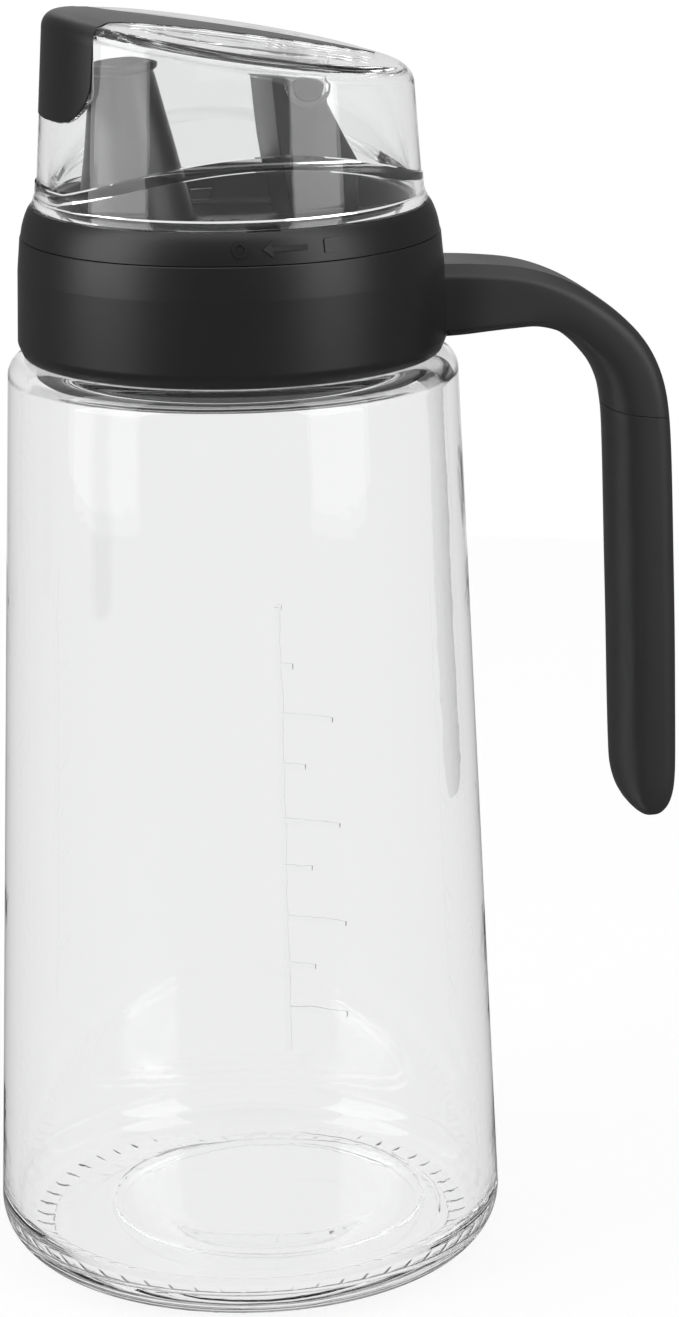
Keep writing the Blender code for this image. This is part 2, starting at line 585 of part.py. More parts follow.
def build_lid_base(parts, cutters):
    lid = turned("lid_base", lid_ring_profile(), parts, closed=False)
    join(lid, turned("spout_tool", spout_outside(), cutters, closed=False, **spout_place()))
    cut(lid, turned("spout_bore_tool", spout_bore(), cutters, closed=False, **spout_place()))

    tower = plate("tower_tool", tower_side(), TOWER_HALF_WIDTH * 2, cutters)
    cut(tower, plate("tower_room_tool", tower_room(), (TOWER_HALF_WIDTH - TOWER_WALL) * 2, cutters))
    trunnion_length = CHEEK_THICKNESS + EYE_BOSS * 2 + CLEARANCE + TOWER_WALL / 2
    for side in (-1, 1):
        middle_y = side * (TOWER_HALF_WIDTH - TOWER_WALL / 2 + trunnion_length / 2)
        place = (PIVOT_X, middle_y, PIVOT_Z)
        join(tower, rod(f"trunnion_tool_{side}", TRUNNION_RADIUS, trunnion_length, cutters, place, steps=24))
    join(lid, tower)

    slot_outer_y = TAB_INNER_Y + TAB_THICKNESS + CLEARANCE
    for side in (-1, 1):
        slot_low = (-TAB_WIDTH / 2 - CLEARANCE, TAB_INNER_Y - CLEARANCE * 2.5, LEDGE_Z - TAB_DEPTH - CLEARANCE)
        slot_high = (TAB_WIDTH / 2 + CLEARANCE, slot_outer_y, LEDGE_Z + OVERRUN)
        turn = (0, 0, 0 if side > 0 else math.pi)
        cut(lid, box(f"tab_slot_tool_{side}", slot_low, slot_high, cutters, rotation=turn))
        window_low = (-WINDOW_WIDTH / 2, WELL_RADIUS - OVERRUN, WINDOW_Z)
        window_high = (WINDOW_WIDTH / 2, slot_outer_y - TAB_THICKNESS / 2, WINDOW_Z + WINDOW_HEIGHT)
        cut(lid, box(f"window_tool_{side}", window_low, window_high, cutters, rotation=turn))
    vent = rod("vent_tool", VENT_RADIUS, DECK_THICKNESS * 3, cutters, (VENT_X, 0, DECK_Z), (0, 0, 0), 12)
    cut(lid, vent)
    finish(lid, black_plastic())
    return lid


def split_z(x):
    """Height of the split between skirt and cover, on the outside."""
    share = min(1.0, abs(x - SPLIT_PEAK_X) / SPLIT_RUN)
    return SPLIT_PEAK_Z - (SPLIT_PEAK_Z - SPLIT_LOW_Z) * share ** 2


def lift_vertices(item, low_z, high_z, low_lift, high_lift):
    """Raise each vertex by a lift that depends on where it stands, keeping the wall's draft."""
    for vertex in item.data.vertices:
        x, y, z = vertex.co
        share = min(1.0, max(0.0, (z - low_z) / (high_z - low_z)))
        lift = low_lift(x, y) * (1 - share) + high_lift(x, y) * share
        pull = 1 - DRAFT * lift / COVER_RADIUS
        vertex.co = (x * pull, y * pull, z + lift)


def cover_wall_radius(z):
    return COVER_RADIUS - DRAFT * (z - SPLIT_LOW_Z)


def cover_line(wall_outset, roof_outset, bottom_z, bevel_drop):
    """Half section of a surface that runs at an outset from the cover's outside, from the axis to its edge."""
    corner_round = ROOF_ROUND + (wall_outset + roof_outset) / 2
    top = ROOF_Z + roof_outset
    corner_z = top - corner_round - ROOF_CROWN
    corner_x = cover_wall_radius(corner_z) + wall_outset - corner_round
    points = []
    for share in (0.0, 0.3, 0.6, 0.85):
        points.append((corner_x * share, top - ROOF_CROWN * (corner_x * share / COVER_RADIUS) ** 2))
    points += arc((corner_x, corner_z), corner_round, 90, 0, 5)
    low_z = bottom_z - bevel_drop
    points.append((cover_wall_radius(bottom_z) + wall_outset, low_z))
    return points


def cover_shell(name, collection, outset, wall, roof, bottom_z, bevel):
    """The cover's turned shell with a level roof, before it is lifted to its slope."""
    outer = cover_line(outset, outset, bottom_z, 0)
    inner = cover_line(outset - wall, outset - roof, bottom_z, wall * bevel)
    return turned(name, outer + inner[::-1], collection, closed=False)


def slope_lift(x, y):
    return -ROOF_SLOPE * x


def slope_cover(shell, low_lift):
    lower = SPLIT_PEAK_Z + SPLIT_GAP
    upper = ROOF_Z - ROOF_CROWN - ROOF_ROUND * 1.6
    lift_vertices(shell, lower, upper, low_lift, slope_lift)


def cheek_outline():
    """Side view of a cheek: along the roof, then back along its lower edge and round the eye."""
    eye = TRUNNION_RADIUS + CLEARANCE + EYE_WALL / 2
    cheek_y = CHEEK_INNER_Y + CHEEK_THICKNESS
    rear_x = PIVOT_X + eye
    run = PIVOT_X - CHEEK_FRONT_X
    outline = []
    for i in range(7):
        x = CHEEK_FRONT_X + (rear_x - CHEEK_FRONT_X) * i / 6
        outline.append((x, roof_z(x, cheek_y) - ROOF_THICKNESS / 2))
    outline += arc((PIVOT_X, PIVOT_Z), eye, 0, -180, 10)
    front_z = roof_z(CHEEK_FRONT_X, cheek_y) - ROOF_THICKNESS
    for across, down in reversed(CHEEK_LOWER_SHARES):
        outline.append((CHEEK_FRONT_X + run * across, front_z - (front_z - PIVOT_Z) * down))
    return outline


def build_flip_cover(parts, cutters):
    bottom = SPLIT_PEAK_Z + SPLIT_GAP / 2
    cover = cover_shell("flip_cover", parts, 0, COVER_WALL, ROOF_THICKNESS, bottom, SPLIT_BEVEL)
    slope_cover(cover, lambda x, y: split_z(x) - SPLIT_PEAK_Z)
    eye = TRUNNION_RADIUS + CLEARANCE + EYE_WALL
    for side in (-1, 1):
        boss_length = CHEEK_THICKNESS + EYE_BOSS * 2
        middle_y = side * (CHEEK_INNER_Y + boss_length / 2)
        join(cover, plate(f"cheek_tool_{side}", cheek_outline(), CHEEK_THICKNESS, cutters, (0, middle_y, 0)))
        join(cover, rod(f"eye_boss_tool_{side}", eye, boss_length, cutters, (PIVOT_X, middle_y, PIVOT_Z)))
    hole_length = (CHEEK_INNER_Y + CHEEK_THICKNESS + EYE_BOSS * 2 + OVERRUN / 4) * 2
    hole = rod("eye_hole_tool", TRUNNION_RADIUS + CLEARANCE, hole_length, cutters, (PIVOT_X, 0, PIVOT_Z))
    cut(cover, hole)
    cut(cover, beak_solid("beak_recess_tool", cutters, SNUG, OVERRUN / 2, cutters))
    finish(cover, clear_plastic())
    return cover


def beak_plan(room):
    """Plan of the black piece: as wide as the beak at the front, tapering along the roof."""
    wide_x = -math.sqrt(cover_wall_radius(ROOF_Z) ** 2 - BEAK_HALF_WIDTH ** 2)
    front_x = -COVER_RADIUS - OVERRUN
    near_side = [(front_x, -BEAK_HALF_WIDTH - room)]
    for along, across in BEAK_TAPER_SHARES[:-1]:
        near_side.append((wide_x + (BEAK_TIP_X - wide_x) * along, -BEAK_HALF_WIDTH * across - room))
    far_side = [(x, -y) for x, y in reversed(near_side)]
    return near_side + [(BEAK_TIP_X + room, 0)] + far_side


def beak_front(room):
    """Front view of the beak: a straight-sided tongue with round lower corners."""
    half = BEAK_HALF_WIDTH + room
    corner_y = BEAK_HALF_WIDTH - BEAK_CORNER
    corner_z = BEAK_BOTTOM_Z + BEAK_CORNER
    radius = BEAK_CORNER + room
    top = ROOF_Z + ROOF_ROUND * 5
    left = [(-y, z) for y, z in arc((corner_y, corner_z), radius, 0, -90, 6)]
    right = arc((corner_y, corner_z), radius, -90, 0, 6)
    return [(-half, top)] + left + right + [(half, top)]


def beak_solid(name, collection, room, extra, cutters):
    """The part of a thin shell over the cover's outside that the beak's plan and front view leave."""
    proud = BEAK_PROUD + extra
    thickness = BEAK_THICKNESS + room + extra
    shell = cover_shell(name, collection, proud, thickness, thickness, SPLIT_PEAK_Z - SPLIT_GAP, 0)
    slope_cover(shell, lambda x, y: 0)
    tall = BEAK_CORNER * 12
    plan = plate(name + "_plan", beak_plan(room), tall, cutters, (0, 0, ROOF_Z), (0, 0, 0))
    keep_inside(shell, plan)
    sideways = (math.pi / 2, 0, math.pi / 2)
    front = plate(name + "_front", beak_front(room), COVER_RADIUS * 3, cutters, rotation=sideways)
    keep_inside(shell, front)
    return shell


def build_cover_beak(parts, cutters):
    beak = beak_solid("cover_beak", parts, 0, 0, cutters)
    finish(beak, black_plastic())
    return beak


def build_clear_skirt(parts, cutters):
    top = SPLIT_PEAK_Z - SPLIT_GAP / 2
    top_radius = SKIRT_RADIUS - DRAFT * (top - SKIRT_FOOT_Z - SKIRT_FLARE_HEIGHT)
    flare = SKIRT_FOOT_RADIUS - SKIRT_RADIUS
    flare_top = SKIRT_FOOT_Z + SKIRT_FLARE_HEIGHT
    points = [(top_radius, top), (SKIRT_RADIUS, flare_top)]
    for i in range(1, 5):
        share = i / 4
        points.append((SKIRT_RADIUS + flare * share ** 2, flare_top - SKIRT_FLARE_HEIGHT * share))
    inner_top = top - SKIRT_WALL * SPLIT_BEVEL
    points += [(SKIRT_BORE_RADIUS, SKIRT_FOOT_Z), (SKIRT_BORE_RADIUS, LID_LIP_TOP_Z + CLEARANCE)]
    points += [(SKIRT_RADIUS - SKIRT_WALL, LID_LIP_TOP_Z + CLEARANCE * 2), (top_radius - SKIRT_WALL, inner_top)]
    skirt = turned("clear_skirt", points, parts)
    lift_vertices(skirt, LID_LIP_TOP_Z + CLEARANCE * 2, inner_top, lambda x, y: 0,
                  lambda x, y: split_z(x) - SPLIT_PEAK_Z)
    for side in (-1, 1):
        turn = (0, 0, 0 if side > 0 else math.pi)
        outer_y = TAB_INNER_Y + TAB_THICKNESS
        low = (-TAB_WIDTH / 2, TAB_INNER_Y, LEDGE_Z - TAB_DEPTH)
        high = (TAB_WIDTH / 2, outer_y, SKIRT_FOOT_Z + SKIRT_FLARE_HEIGHT / 4)
        join(skirt, box(f"tab_tool_{side}", low, high, cutters, rotation=turn))
        hook_low = (-WINDOW_WIDTH / 2 + CLEARANCE, WELL_RADIUS + CLEARANCE, WINDOW_Z + CLEARANCE)
        hook_high = (WINDOW_WIDTH / 2 - CLEARANCE, outer_y - TAB_THICKNESS / 2, WINDOW_Z + WINDOW_HEIGHT - CLEARANCE)
        join(skirt, box(f"hook_tool_{side}", hook_low, hook_high, cutters, rotation=turn))
    finish(skirt, clear_plastic())
    return skirt


def build_neck_seal(parts, cutters):
    low = NECK_TOP_Z + CLEARANCE
    high = low + SEAL_THICKNESS
    profile = [(SEAL_OUTER_RADIUS, high), (SEAL_OUTER_RADIUS, low), (SEAL_INNER_RADIUS, low), (SEAL_INNER_RADIUS, high)]
    seal = turned("neck_seal", profile, parts)
    finish(seal, grey_silicone())
    return seal


def group_under_axes(parts, groups):
    """Hang the moving pieces from empties that stand on their joints' axes."""
    for name, place, members in groups:
        empty = bpy.data.objects.new(name, None)
        empty.location = place
        parts.objects.link(empty)
        bpy.context.view_layer.update()
        for member in members:
            matrix = member.matrix_world.copy()
            member.parent = empty
            member.matrix_world = matrix


def move_to_frame(parts, cutters):
    """Put the origin under the middle of the whole object's box."""
    bpy.context.view_layer.update()
    for item in list(parts.objects) + list(cutters.objects):
        if item.parent is None:
            item.location.x += AXIS_X


def main():
    clear_scene()
    parts = new_collection("oil_dispenser_bottle")
    cutters = new_collection("cutters")
    build_glass_bottle(parts, cutters)
    build_handle_collar(parts, cutters)
    build_handle_grip(parts, cutters)
    lid = build_lid_base(parts, cutters)
    skirt = build_clear_skirt(parts, cutters)
    cover = build_flip_cover(parts, cutters)
    beak = build_cover_beak(parts, cutters)
    seal = build_neck_seal(parts, cutters)
    group_under_axes(parts, (("lid_axis", (0, 0, DECK_Z), (lid, skirt, seal)),
                             ("cover_axis", (PIVOT_X, 0, PIVOT_Z), (cover, beak))))
    move_to_frame(parts, cutters)


main()
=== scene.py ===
# Oil dispenser bottle: blown glass, black collar and handle, pouring lid under a clear flip cover.
# Lengths are millimetres round the bottle's axis until settle() turns them into the frame's metres.
import math

import bmesh
import bpy
from mathutils import Matrix, Vector


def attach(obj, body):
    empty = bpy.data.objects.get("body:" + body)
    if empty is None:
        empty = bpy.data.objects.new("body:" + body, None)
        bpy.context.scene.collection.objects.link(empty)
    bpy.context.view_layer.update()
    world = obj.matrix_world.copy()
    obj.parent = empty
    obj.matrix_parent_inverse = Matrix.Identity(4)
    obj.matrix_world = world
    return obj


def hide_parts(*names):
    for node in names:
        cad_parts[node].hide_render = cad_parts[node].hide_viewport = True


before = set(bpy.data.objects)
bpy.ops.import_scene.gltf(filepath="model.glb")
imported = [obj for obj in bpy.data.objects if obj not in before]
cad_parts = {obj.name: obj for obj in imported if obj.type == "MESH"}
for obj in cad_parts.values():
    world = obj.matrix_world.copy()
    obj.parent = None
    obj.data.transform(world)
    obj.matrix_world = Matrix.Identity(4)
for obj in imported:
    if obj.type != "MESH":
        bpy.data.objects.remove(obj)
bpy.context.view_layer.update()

MILLIMETRE = 0.001
AXIS_X = -17.25
ROUND = 256                      # sides of the large turned pieces
SMALL_ROUND = 72
WELD = 0.004
GAP = 0.3
# Edges with a larger angle than this, in degrees, aren't shaded smooth
SHARP_GLASS = 60
SHARP_MOULDED = 38
SHARP_HOOD = 34
SHARP_SEAL = 40

# Glass
NECK_RADIUS = 34.0
NECK_WALL = 2.6
NECK_TOP = 189.5
BEAD_DEPTH = 1.3
BEAD_HEIGHT = 2.4
BASE_RADIUS = 48.0
BASE_ROUND = 9.2
SHOULDER = 172.0
SHOULDER_RADIUS = 40.85
SHOULDER_ROUND = 3.6
GLASS_WALL = 2.7
WALL_RINGS = (130, 90, 50)
TROUGH = 5.0
HEEL_ROUND = 6.5
PUSH_UP = 3.4
PUSH_UP_TOP = 22.0
PUSH_UP_FOOT = 37.4
STEP_RADIUS = 29.6
STEP = 0.3
PUSH_UP_SHIFT = 3.4
RIDGES = 53
SIDES_PER_RIDGE = 12
RIDGE_INNER = 38.2
RIDGE_OUTER = 42.8
RIDGE_HEIGHT = 0.35
RIDGE_TOP = 3.0
RIDGE_CREST = 2.6                # a ridge takes about three tenths of its share of the ring
RIDGE_CRISP = 0.35
MARK_ANGLE = math.radians(70)
DASHES = ((112.45, 0.9), (100.49, 3.0), (89.88, 11.2), (79.6, 5.0), (67.97, 12.4), (57.95, 5.9), (47.2, 13.3),
          (37.02, 6.2), (27.63, 13.2))
MARK_LOW = 18.4
MARK_HALF_WIDTH = 0.6
MARK_HEIGHT = 0.62
MARK_CREST = 0.5                 # power of the dashes' round crest
MARK_CLEAR = 0.01
MARK_SIDES = 20
MARK_ROWS = 14
THREAD_TURNS = 1.4
THREAD_RISE = 4.2
THREAD_FOOT = 182.4
THREAD_RADIUS = 34.42
THREAD_THICKNESS = 0.4
THREAD_ROWS = 180
THREAD_SIDES = 10

# Collar and handle
COLLAR_BOTTOM = 172.3
COLLAR_TOP = 193.75
COLLAR_BORE = 36.7
COLLAR_UPPER = 38.0
COLLAR_MIDDLE = 38.55
COLLAR_LOWER = 38.95
LIP_RADIUS = 34.3
LIP_HEIGHT = 3.6
BEAD = 176.2
HANDLE_WIDTH = 18.5
HANDLE_FILLET = 5                # steps of each rounded edge
HANDLE_STEPS = 5                 # steps between stations, and along the straight parts of a ring
HANDLE_SOFT = (50, 78)           # between these the arm's crease fades
HANDLE_OVAL = (2.6, 4.5)         # powers of the inner and outer half of the grip's oval
HANDLE_SLIM = 4.5                # with less than this half depth the edges get smaller
HANDLE_FLAT = (0.66, 0.6)        # outer face: share of the width, and rounding of its edges
CREASE = (1.8, 0.2, 1.2, 2.0)    # depth, inset, rounding on the arm, and what the grip adds to it
HANDLE_BACK = (1.1, 1.3, 0.9)    # inner edges: depth, width and rounding
SEAM = 157.2
SEAM_X = 75.84
SEAM_TILT = math.radians(8)
SEAM_GAP = 0.12
SLAB = (90, 20, 200)             # half length, half width and height of what the seam cuts off
TONGUE = (42.0, 4.6, 9.0)
TONGUE_ROOT = 3                  # how far it reaches into the arm
ROOM_OPEN = 8                    # how far its room is cut past the seam
HANDLE_LIGHT_SPAN = (0.022, 0.032)            # metres along X: between these the handle's black starts to be painted lighter, painted light for how light falls on it, and a little rougher
HANDLE_STATIONS = (
    (37.1, 186.95, 37.1, 173.9, 1), (42, 186.75, 41.5, 174.05, 1), (47, 186.35, 46, 174.4, 1),
    (52.6, 185.6, 51, 174.7, 1), (57.7, 184.2, 55.3, 174.6, 1), (62.7, 182, 59.5, 173.2, 1),
    (67.2, 179.2, 63, 170.7, 1), (71.2, 176.1, 65.7, 167.8, 1), (74.8, 172.5, 67.6, 165.1, 1),
    (77.6, 168.4, 68.9, 162, 1), (79.6, 163.4, 69.5, 158.9, 1), (80.7, 157.4, 69.9, 155, 1),
    (81.3, 148, 70.2, 147, 1), (81.8, 131, 70.6, 130.5, 1), (82.2, 115, 71, 114.8, 1), (82.4, 101, 71.3, 100.9, 1),
    (82.5, 91, 71.6, 91.4, 1), (82.4, 86.6, 71.9, 87.2, 1), (82, 83.5, 72.7, 83.9, .98),
    (81.1, 81.1, 73.9, 81.3, .92), (79.7, 79.5, 75.4, 79.5, .78), (78.3, 78.9, 76.8, 78.9, .52))

# Lid
BAND_BOTTOM = 193.9
BAND_LOWER = 37.85
BAND_UPPER = 35.9
LEDGE = 199.3
DECK = 193.8
DECK_THICKNESS = 1.9
WELL_RADIUS = 32.5
LID_LIP = 1.1
LID_LIP_TOP = 200.3
SOCKET_RADIUS = 34.9
SOCKET_WALL = 1.5
SOCKET_BOTTOM = 180.5
BAND_CURVE = ((1, 0), (.93, .15), (.85, .3), (.735, .45), (.6, .6), (.46, .73), (.3, .85), (.15, .93), (0, 1))
SPOUT_X = -16.8
SPOUT_LEAN = math.radians(4.2)
SPOUT_BASE = 11.2
SPOUT_NECK = 5.5
SPOUT_HEIGHT = 31.2
SPOUT_LIP = 1.9
SPOUT_WALL = 1.3
SPOUT_FOOT = 2.4                 # how far the foot widens
SUNK = 0.9                       # how deep spout and tower reach into the deck
VENT_X = 1
VENT_RADIUS = 1.2
PIVOT_X = 12.0
PIVOT = 221.0
TRUNNION = 2.7
EYE_WALL = 0.9
TOWER_HALF = 11.7
TOWER_WALL = 2.0
TOWER_ROUND = 3.5
TOWER_FRONT = 222.8
TOWER_TOP_X = 5.9
TOWER_FOOT_X = 11.8
TOWER_REAR_X = 21.2
TOWER_SHOULDER = 207.0
TOWER_CURVE = ((0, 0), (.05, .19), (.11, .325), (.19, .44), (.29, .56), (.39, .66), (.54, .78), (.7, .87), (1, 1))
TAB = (5.4, 1.0, 4.6)
TAB_INNER_Y = 34.05
WINDOW = (4.4, 2.2, 194.6)
SIGNS_ANGLE = math.radians(-84)
SIGNS_HEIGHT = 196.55
SIGN_LEVELS = (-0.2, 0.28)
SIGN_PITCH = 0.6                 # length between points along an outline
RING_SIGN = (-8.6, 1.35, 0.85)
RING_SIDES = 40
ARROW_SIGN = ((-4.6, 0), (-2.9, 1.35), (-2.9, 0.4), (3.4, 0.4), (3.4, -0.4), (-2.9, -0.4), (-2.9, -1.35))
BAR_SIGN = ((6.6, 1.2, 0.3), (9.6, 1.2, 0.3), (9.6, -1.2, 0.3), (6.6, -1.2, 0.3))

# Skirt and cover
SKIRT_FOOT = 199.6
SKIRT_FOOT_RADIUS = 35.75
SKIRT_RADIUS = 34.95
FLARE_HEIGHT = 3.2
SKIRT_WALL = 1.5
SKIRT_BORE = 33.9
COVER_RADIUS = 34.6
DRAFT = 0.068
COVER_WALL = 1.8
ROOF = 230.1
ROOF_THICKNESS = 2.0
ROOF_SLOPE = 0.17
ROOF_CROWN = 1.3
ROOF_ROUND = 3.4
SPLIT_LOW = 203.7
SPLIT_PEAK = 211.9
SPLIT_PEAK_X = 1.5
SPLIT_RUN = 32.9
SPLIT_BEVEL = 1.6
SPLIT_GAP = 0.2
CHEEK = 1.8
CHEEK_FRONT_X = -16.2
CHEEK_INNER_Y = 12.0
EYE_BOSS = 0.3
CHEEK_CURVE = ((0, 0), (.115, .13), (.17, .27), (.22, .4), (.28, .48), (.34, .54), (.47, .62), (.55, .69),
               (.63, .76), (.72, .83), (.8, .9))
BEAK_HALF = 19.3
BEAK_BOTTOM = 216.1
BEAK_CORNER = 8.0
BEAK_THICKNESS = 0.9
BEAK_PROUD = 0.12
BEAK_PLATES = (48, 52, 17)       # how far the plates that trim it reach: plan, front, and up
RECESS = (0.15, 2.0)             # room round the beak, and how far the cut stands out
BEAK_TIP_X = 27.0
BEAK_TAPER = ((0, 1), (.03, .84), (.065, .68), (.12, .54), (.16, .498), (.215, .465), (.29, .42), (.375, .38),
              (.46, .345), (.542, .315), (.61, .285), (.677, .25), (.75, .21), (.813, .17), (.9, .11), (1, 0))

# Seal
SEAL = (31.5, 34.4, 189.8, 191.6)
SEAL_PARTS = 4
GROOVE_HALF = 0.2
GROOVE_DEPTH = 0.25

# Finishes
GLASS_COLOUR = (0.984, 0.987, 0.986, 1)
CLEAR_COLOUR = (0.97, 0.973, 0.974, 1)
BLACK_COLOURS = ((0.0055, 0.0055, 0.006, 1), (0.009, 0.009, 0.0095, 1))
# painted light: a lighter black that the handle is mixed towards, standing in for how light falls on it
HANDLE_PAINTED_LIGHT_COLOUR = (0.0185, 0.0185, 0.019, 1)
SILICONE_COLOURS = ((0.55, 0.55, 0.53, 1), (0.66, 0.66, 0.64, 1))

# Studio
CAMERA = (-0.13545, -0.7065, 0.3132)
CAMERA_TURN = math.radians(-9.5)
CAMERA_YAW = 0.0259
CAMERA_PITCH = 0.2722
CAMERA_ROLL = 0.0145
LENS = 109.34
WORLD_DIFFUSE = 0.75
WORLD_REFLECTED = 0.16
WORLD_THROUGH = 0.895
BACKDROP_REFLECTED = 0.62
BACKDROP_AHEAD = (0.19, 0.98)
BACKDROP_EDGE = (0.34, 0.16)
BACKDROP_START = (0.0, 0.3)
OVERHEAD_START = (0.6, 0.9)
OVERHEAD_REFLECTED = 1.5
FLOOR_RADIUS = 0.55
FLOOR_SIDES = 96
FLOOR_COLOUR = (0.93, 0.93, 0.93, 1)
FLOOR_GLOW = 0.86
# Each softbox and its weaker foot: turn in degrees, distance, width, low edge, high edge, strength
SOFTBOXES = {
    "left_softbox": (-169.0, 0.95, 0.7, 0.125, 1.35, 2.75),
    "left_softbox_foot": (-169.0, 0.95, 0.7, 0.01, 0.125, 0.9),
    "right_softbox": (-46.0, 0.95, 0.54, 0.125, 1.35, 2.65),
    "right_softbox_foot": (-46.0, 0.95, 0.54, 0.01, 0.125, 0.9)}


class Number:
    """A socket of a node tree that takes part in sums."""

    def __init__(self, graph, socket):
        self.graph = graph
        self.socket = socket

    def __add__(self, other):
        return self.graph.sum("ADD", self, other)

    def __radd__(self, other):
        return self.graph.sum("ADD", other, self)

    def __sub__(self, other):
        return self.graph.sum("SUBTRACT", self, other)

    def __rsub__(self, other):
        return self.graph.sum("SUBTRACT", other, self)

    def __mul__(self, other):
        return self.graph.sum("MULTIPLY", self, other)

    def __rmul__(self, other):
        return self.graph.sum("MULTIPLY", other, self)

    def __truediv__(self, other):
        return self.graph.sum("DIVIDE", self, other)


class Node:
    """A node whose outputs are read by name."""

    def __init__(self, graph, node):
        self.graph = graph
        self.node = node

    def __getitem__(self, name):
        return Number(self.graph, self.node.outputs[name])


class Graph:
    """Wires one node tree."""

    def __init__(self, tree):
        self.tree = tree
        tree.nodes.clear()

    def node(self, kind, settings=None, sockets=None):
        node = self.tree.nodes.new(kind)
        for name, value in (settings or {}).items():
            if name == "stops":
                ramp = node.color_ramp
                while len(ramp.elements) < len(value):
                    ramp.elements.new(0.5)
                for stop, (place, level) in zip(ramp.elements, value):
                    stop.position = place
                    stop.color = (level, level, level, 1)
            else:
                setattr(node, name, value)
        for name, value in (sockets or {}).items():
            if isinstance(value, Number):
                self.tree.links.new(value.socket, node.inputs[name])
            else:
                node.inputs[name].default_value = value
        return Node(self, node)

    def sum(self, operation, first, second=0.0):
        return self.node("ShaderNodeMath", {"operation": operation}, {0: first, 1: second})[0]


# Mesh making


def make(name, points, faces):
    """An object from points and faces, welded and facing outwards."""
    mesh = bpy.data.meshes.new(name)
    mesh.from_pydata([tuple(point) for point in points], [], faces)
    shape = bmesh.new()
    shape.from_mesh(mesh)
    bmesh.ops.remove_doubles(shape, verts=shape.verts, dist=WELD)
    bmesh.ops.recalc_face_normals(shape, faces=shape.faces)
    shape.to_mesh(mesh)
    shape.free()
    item = bpy.data.objects.new(name, mesh)
    bpy.context.scene.collection.objects.link(item)
    return item


def bake(item):
    """Put what the modifiers give into the mesh."""
    bpy.context.view_layer.update()
    graph = bpy.context.evaluated_depsgraph_get()
    mesh = bpy.data.meshes.new_from_object(item.evaluated_get(graph))
    item.modifiers.clear()
    item.data = mesh
    return item


def combine(item, other, operation):
    change = item.modifiers.new("change", "BOOLEAN")
    change.operation = operation
    change.solver = "EXACT"
    change.object = other
    bake(item)
    bpy.data.objects.remove(other, do_unlink=True)
    return item


def cut(item, other):
    return combine(item, other, "DIFFERENCE")


def join(item, other):
    return combine(item, other, "UNION")


def keep_inside(item, other):
    return combine(item, other, "INTERSECT")


def add_shells(item, others):
    """Put separate closed shells into one object."""
    shape = bmesh.new()
    shape.from_mesh(item.data)
    for other in others:
        shape.from_mesh(other.data)
        bpy.data.objects.remove(other, do_unlink=True)
    shape.to_mesh(item.data)
    shape.free()
    return item


def round_edges(item, width, degrees=35):
    bevel = item.modifiers.new("edges", "BEVEL")
    bevel.width = width
    bevel.segments = 3
    bevel.limit_method = "ANGLE"
    bevel.angle_limit = math.radians(degrees)
    return bake(item)


def turned(name, profile, steps=ROUND, place=None):
    """A turned solid from a closed loop of (radius, height) points; points on the axis close it."""
    points = []
    rows = []
    for radius, height in profile:
        if radius < WELD:
            rows.append([len(points)] * steps)
            points.append(Vector((0, 0, height)))
            continue
        rows.append(range(len(points), len(points) + steps))
        for k in range(steps):
            angle = 2 * math.pi * (k + 0.5) / steps
            points.append(Vector((radius * math.cos(angle), radius * math.sin(angle), height)))
    faces = []
    for i, row in enumerate(rows):
        after = (i + 1) % len(rows)
        if profile[i][0] < WELD and profile[after][0] < WELD:
            continue
        for k in range(steps):
            n = (k + 1) % steps
            corners = (row[k], row[n], rows[after][n], rows[after][k])
            faces.append(list(dict.fromkeys(corners)))
    if place:
        points = [place @ point for point in points]
    return make(name, points, faces)


def plate(name, outline, low, high, lay):
    """An outline between two levels; lay(across, up, level) gives the place of a point."""
    count = len(outline)
    points = [Vector(lay(u, v, level)) for level in (low, high) for u, v in outline]
    faces = [list(range(count)), list(range(2 * count - 1, count - 1, -1))]
    for i in range(count):
        n = (i + 1) % count
        faces.append([n, i, count + i, count + n])
    return make(name, points, faces)


def side_view(u, v, level):
    return (u, level, v)


def plan_view(u, v, level):
    return (u, v, level)


def front_view(u, v, level):
    return (level, u, v)


def block(name, low, high, place=None):
    outline = ((low[0], low[1]), (high[0], low[1]), (high[0], high[1]), (low[0], high[1]))
    item = plate(name, outline, low[2], high[2], plan_view)
    if place:
        item.data.transform(place)
    return item


def rod(name, radius, y_low, y_high, x, z, steps, round_end=0.0):
    """A round pin along Y."""
    profile = filleted([(0, y_low, 0), (radius, y_low, round_end), (radius, y_high, round_end), (0, y_high, 0)])
    place = Matrix.Translation((x, 0, z)) @ Matrix.Rotation(math.radians(-90), 4, "X")
    return turned(name, profile, steps, place)


def filleted(corners, steps=6):
    """An open or closed outline of (x, y, round) corners with each corner rounded."""
    outline = []
    count = len(corners)
    for i, (x, y, radius) in enumerate(corners):
        if not radius:
            outline.append((x, y))
            continue
        here = Vector((x, y))
        before = Vector(corners[i - 1][:2]) - here
        after = Vector(corners[(i + 1) % count][:2]) - here
        half = before.angle(after) / 2
        run = min(radius / math.tan(half), before.length * 0.49, after.length * 0.49)
        start = here + before.normalized() * run
        end = here + after.normalized() * run
        pull = math.sin(half)
        for k in range(steps + 1):
            t = k / steps
            weights = ((1 - t) ** 2, 2 * t * (1 - t) * pull, t * t)
            spot = (start * weights[0] + here * weights[1] + end * weights[2]) / sum(weights)
            outline.append((spot.x, spot.y))
    return outline


def line(start, end, count):
    """Even points from start to end, both among them."""
    return [(start[0] + (end[0] - start[0]) * i / count, start[1] + (end[1] - start[1]) * i / count)
            for i in range(count + 1)]


def arc(centre, radius, start, end, count):
    points = []
    for i in range(count + 1):
        angle = math.radians(start + (end - start) * i / count)
        points.append((centre[0] + radius * math.cos(angle), centre[1] + radius * math.sin(angle)))
    return points


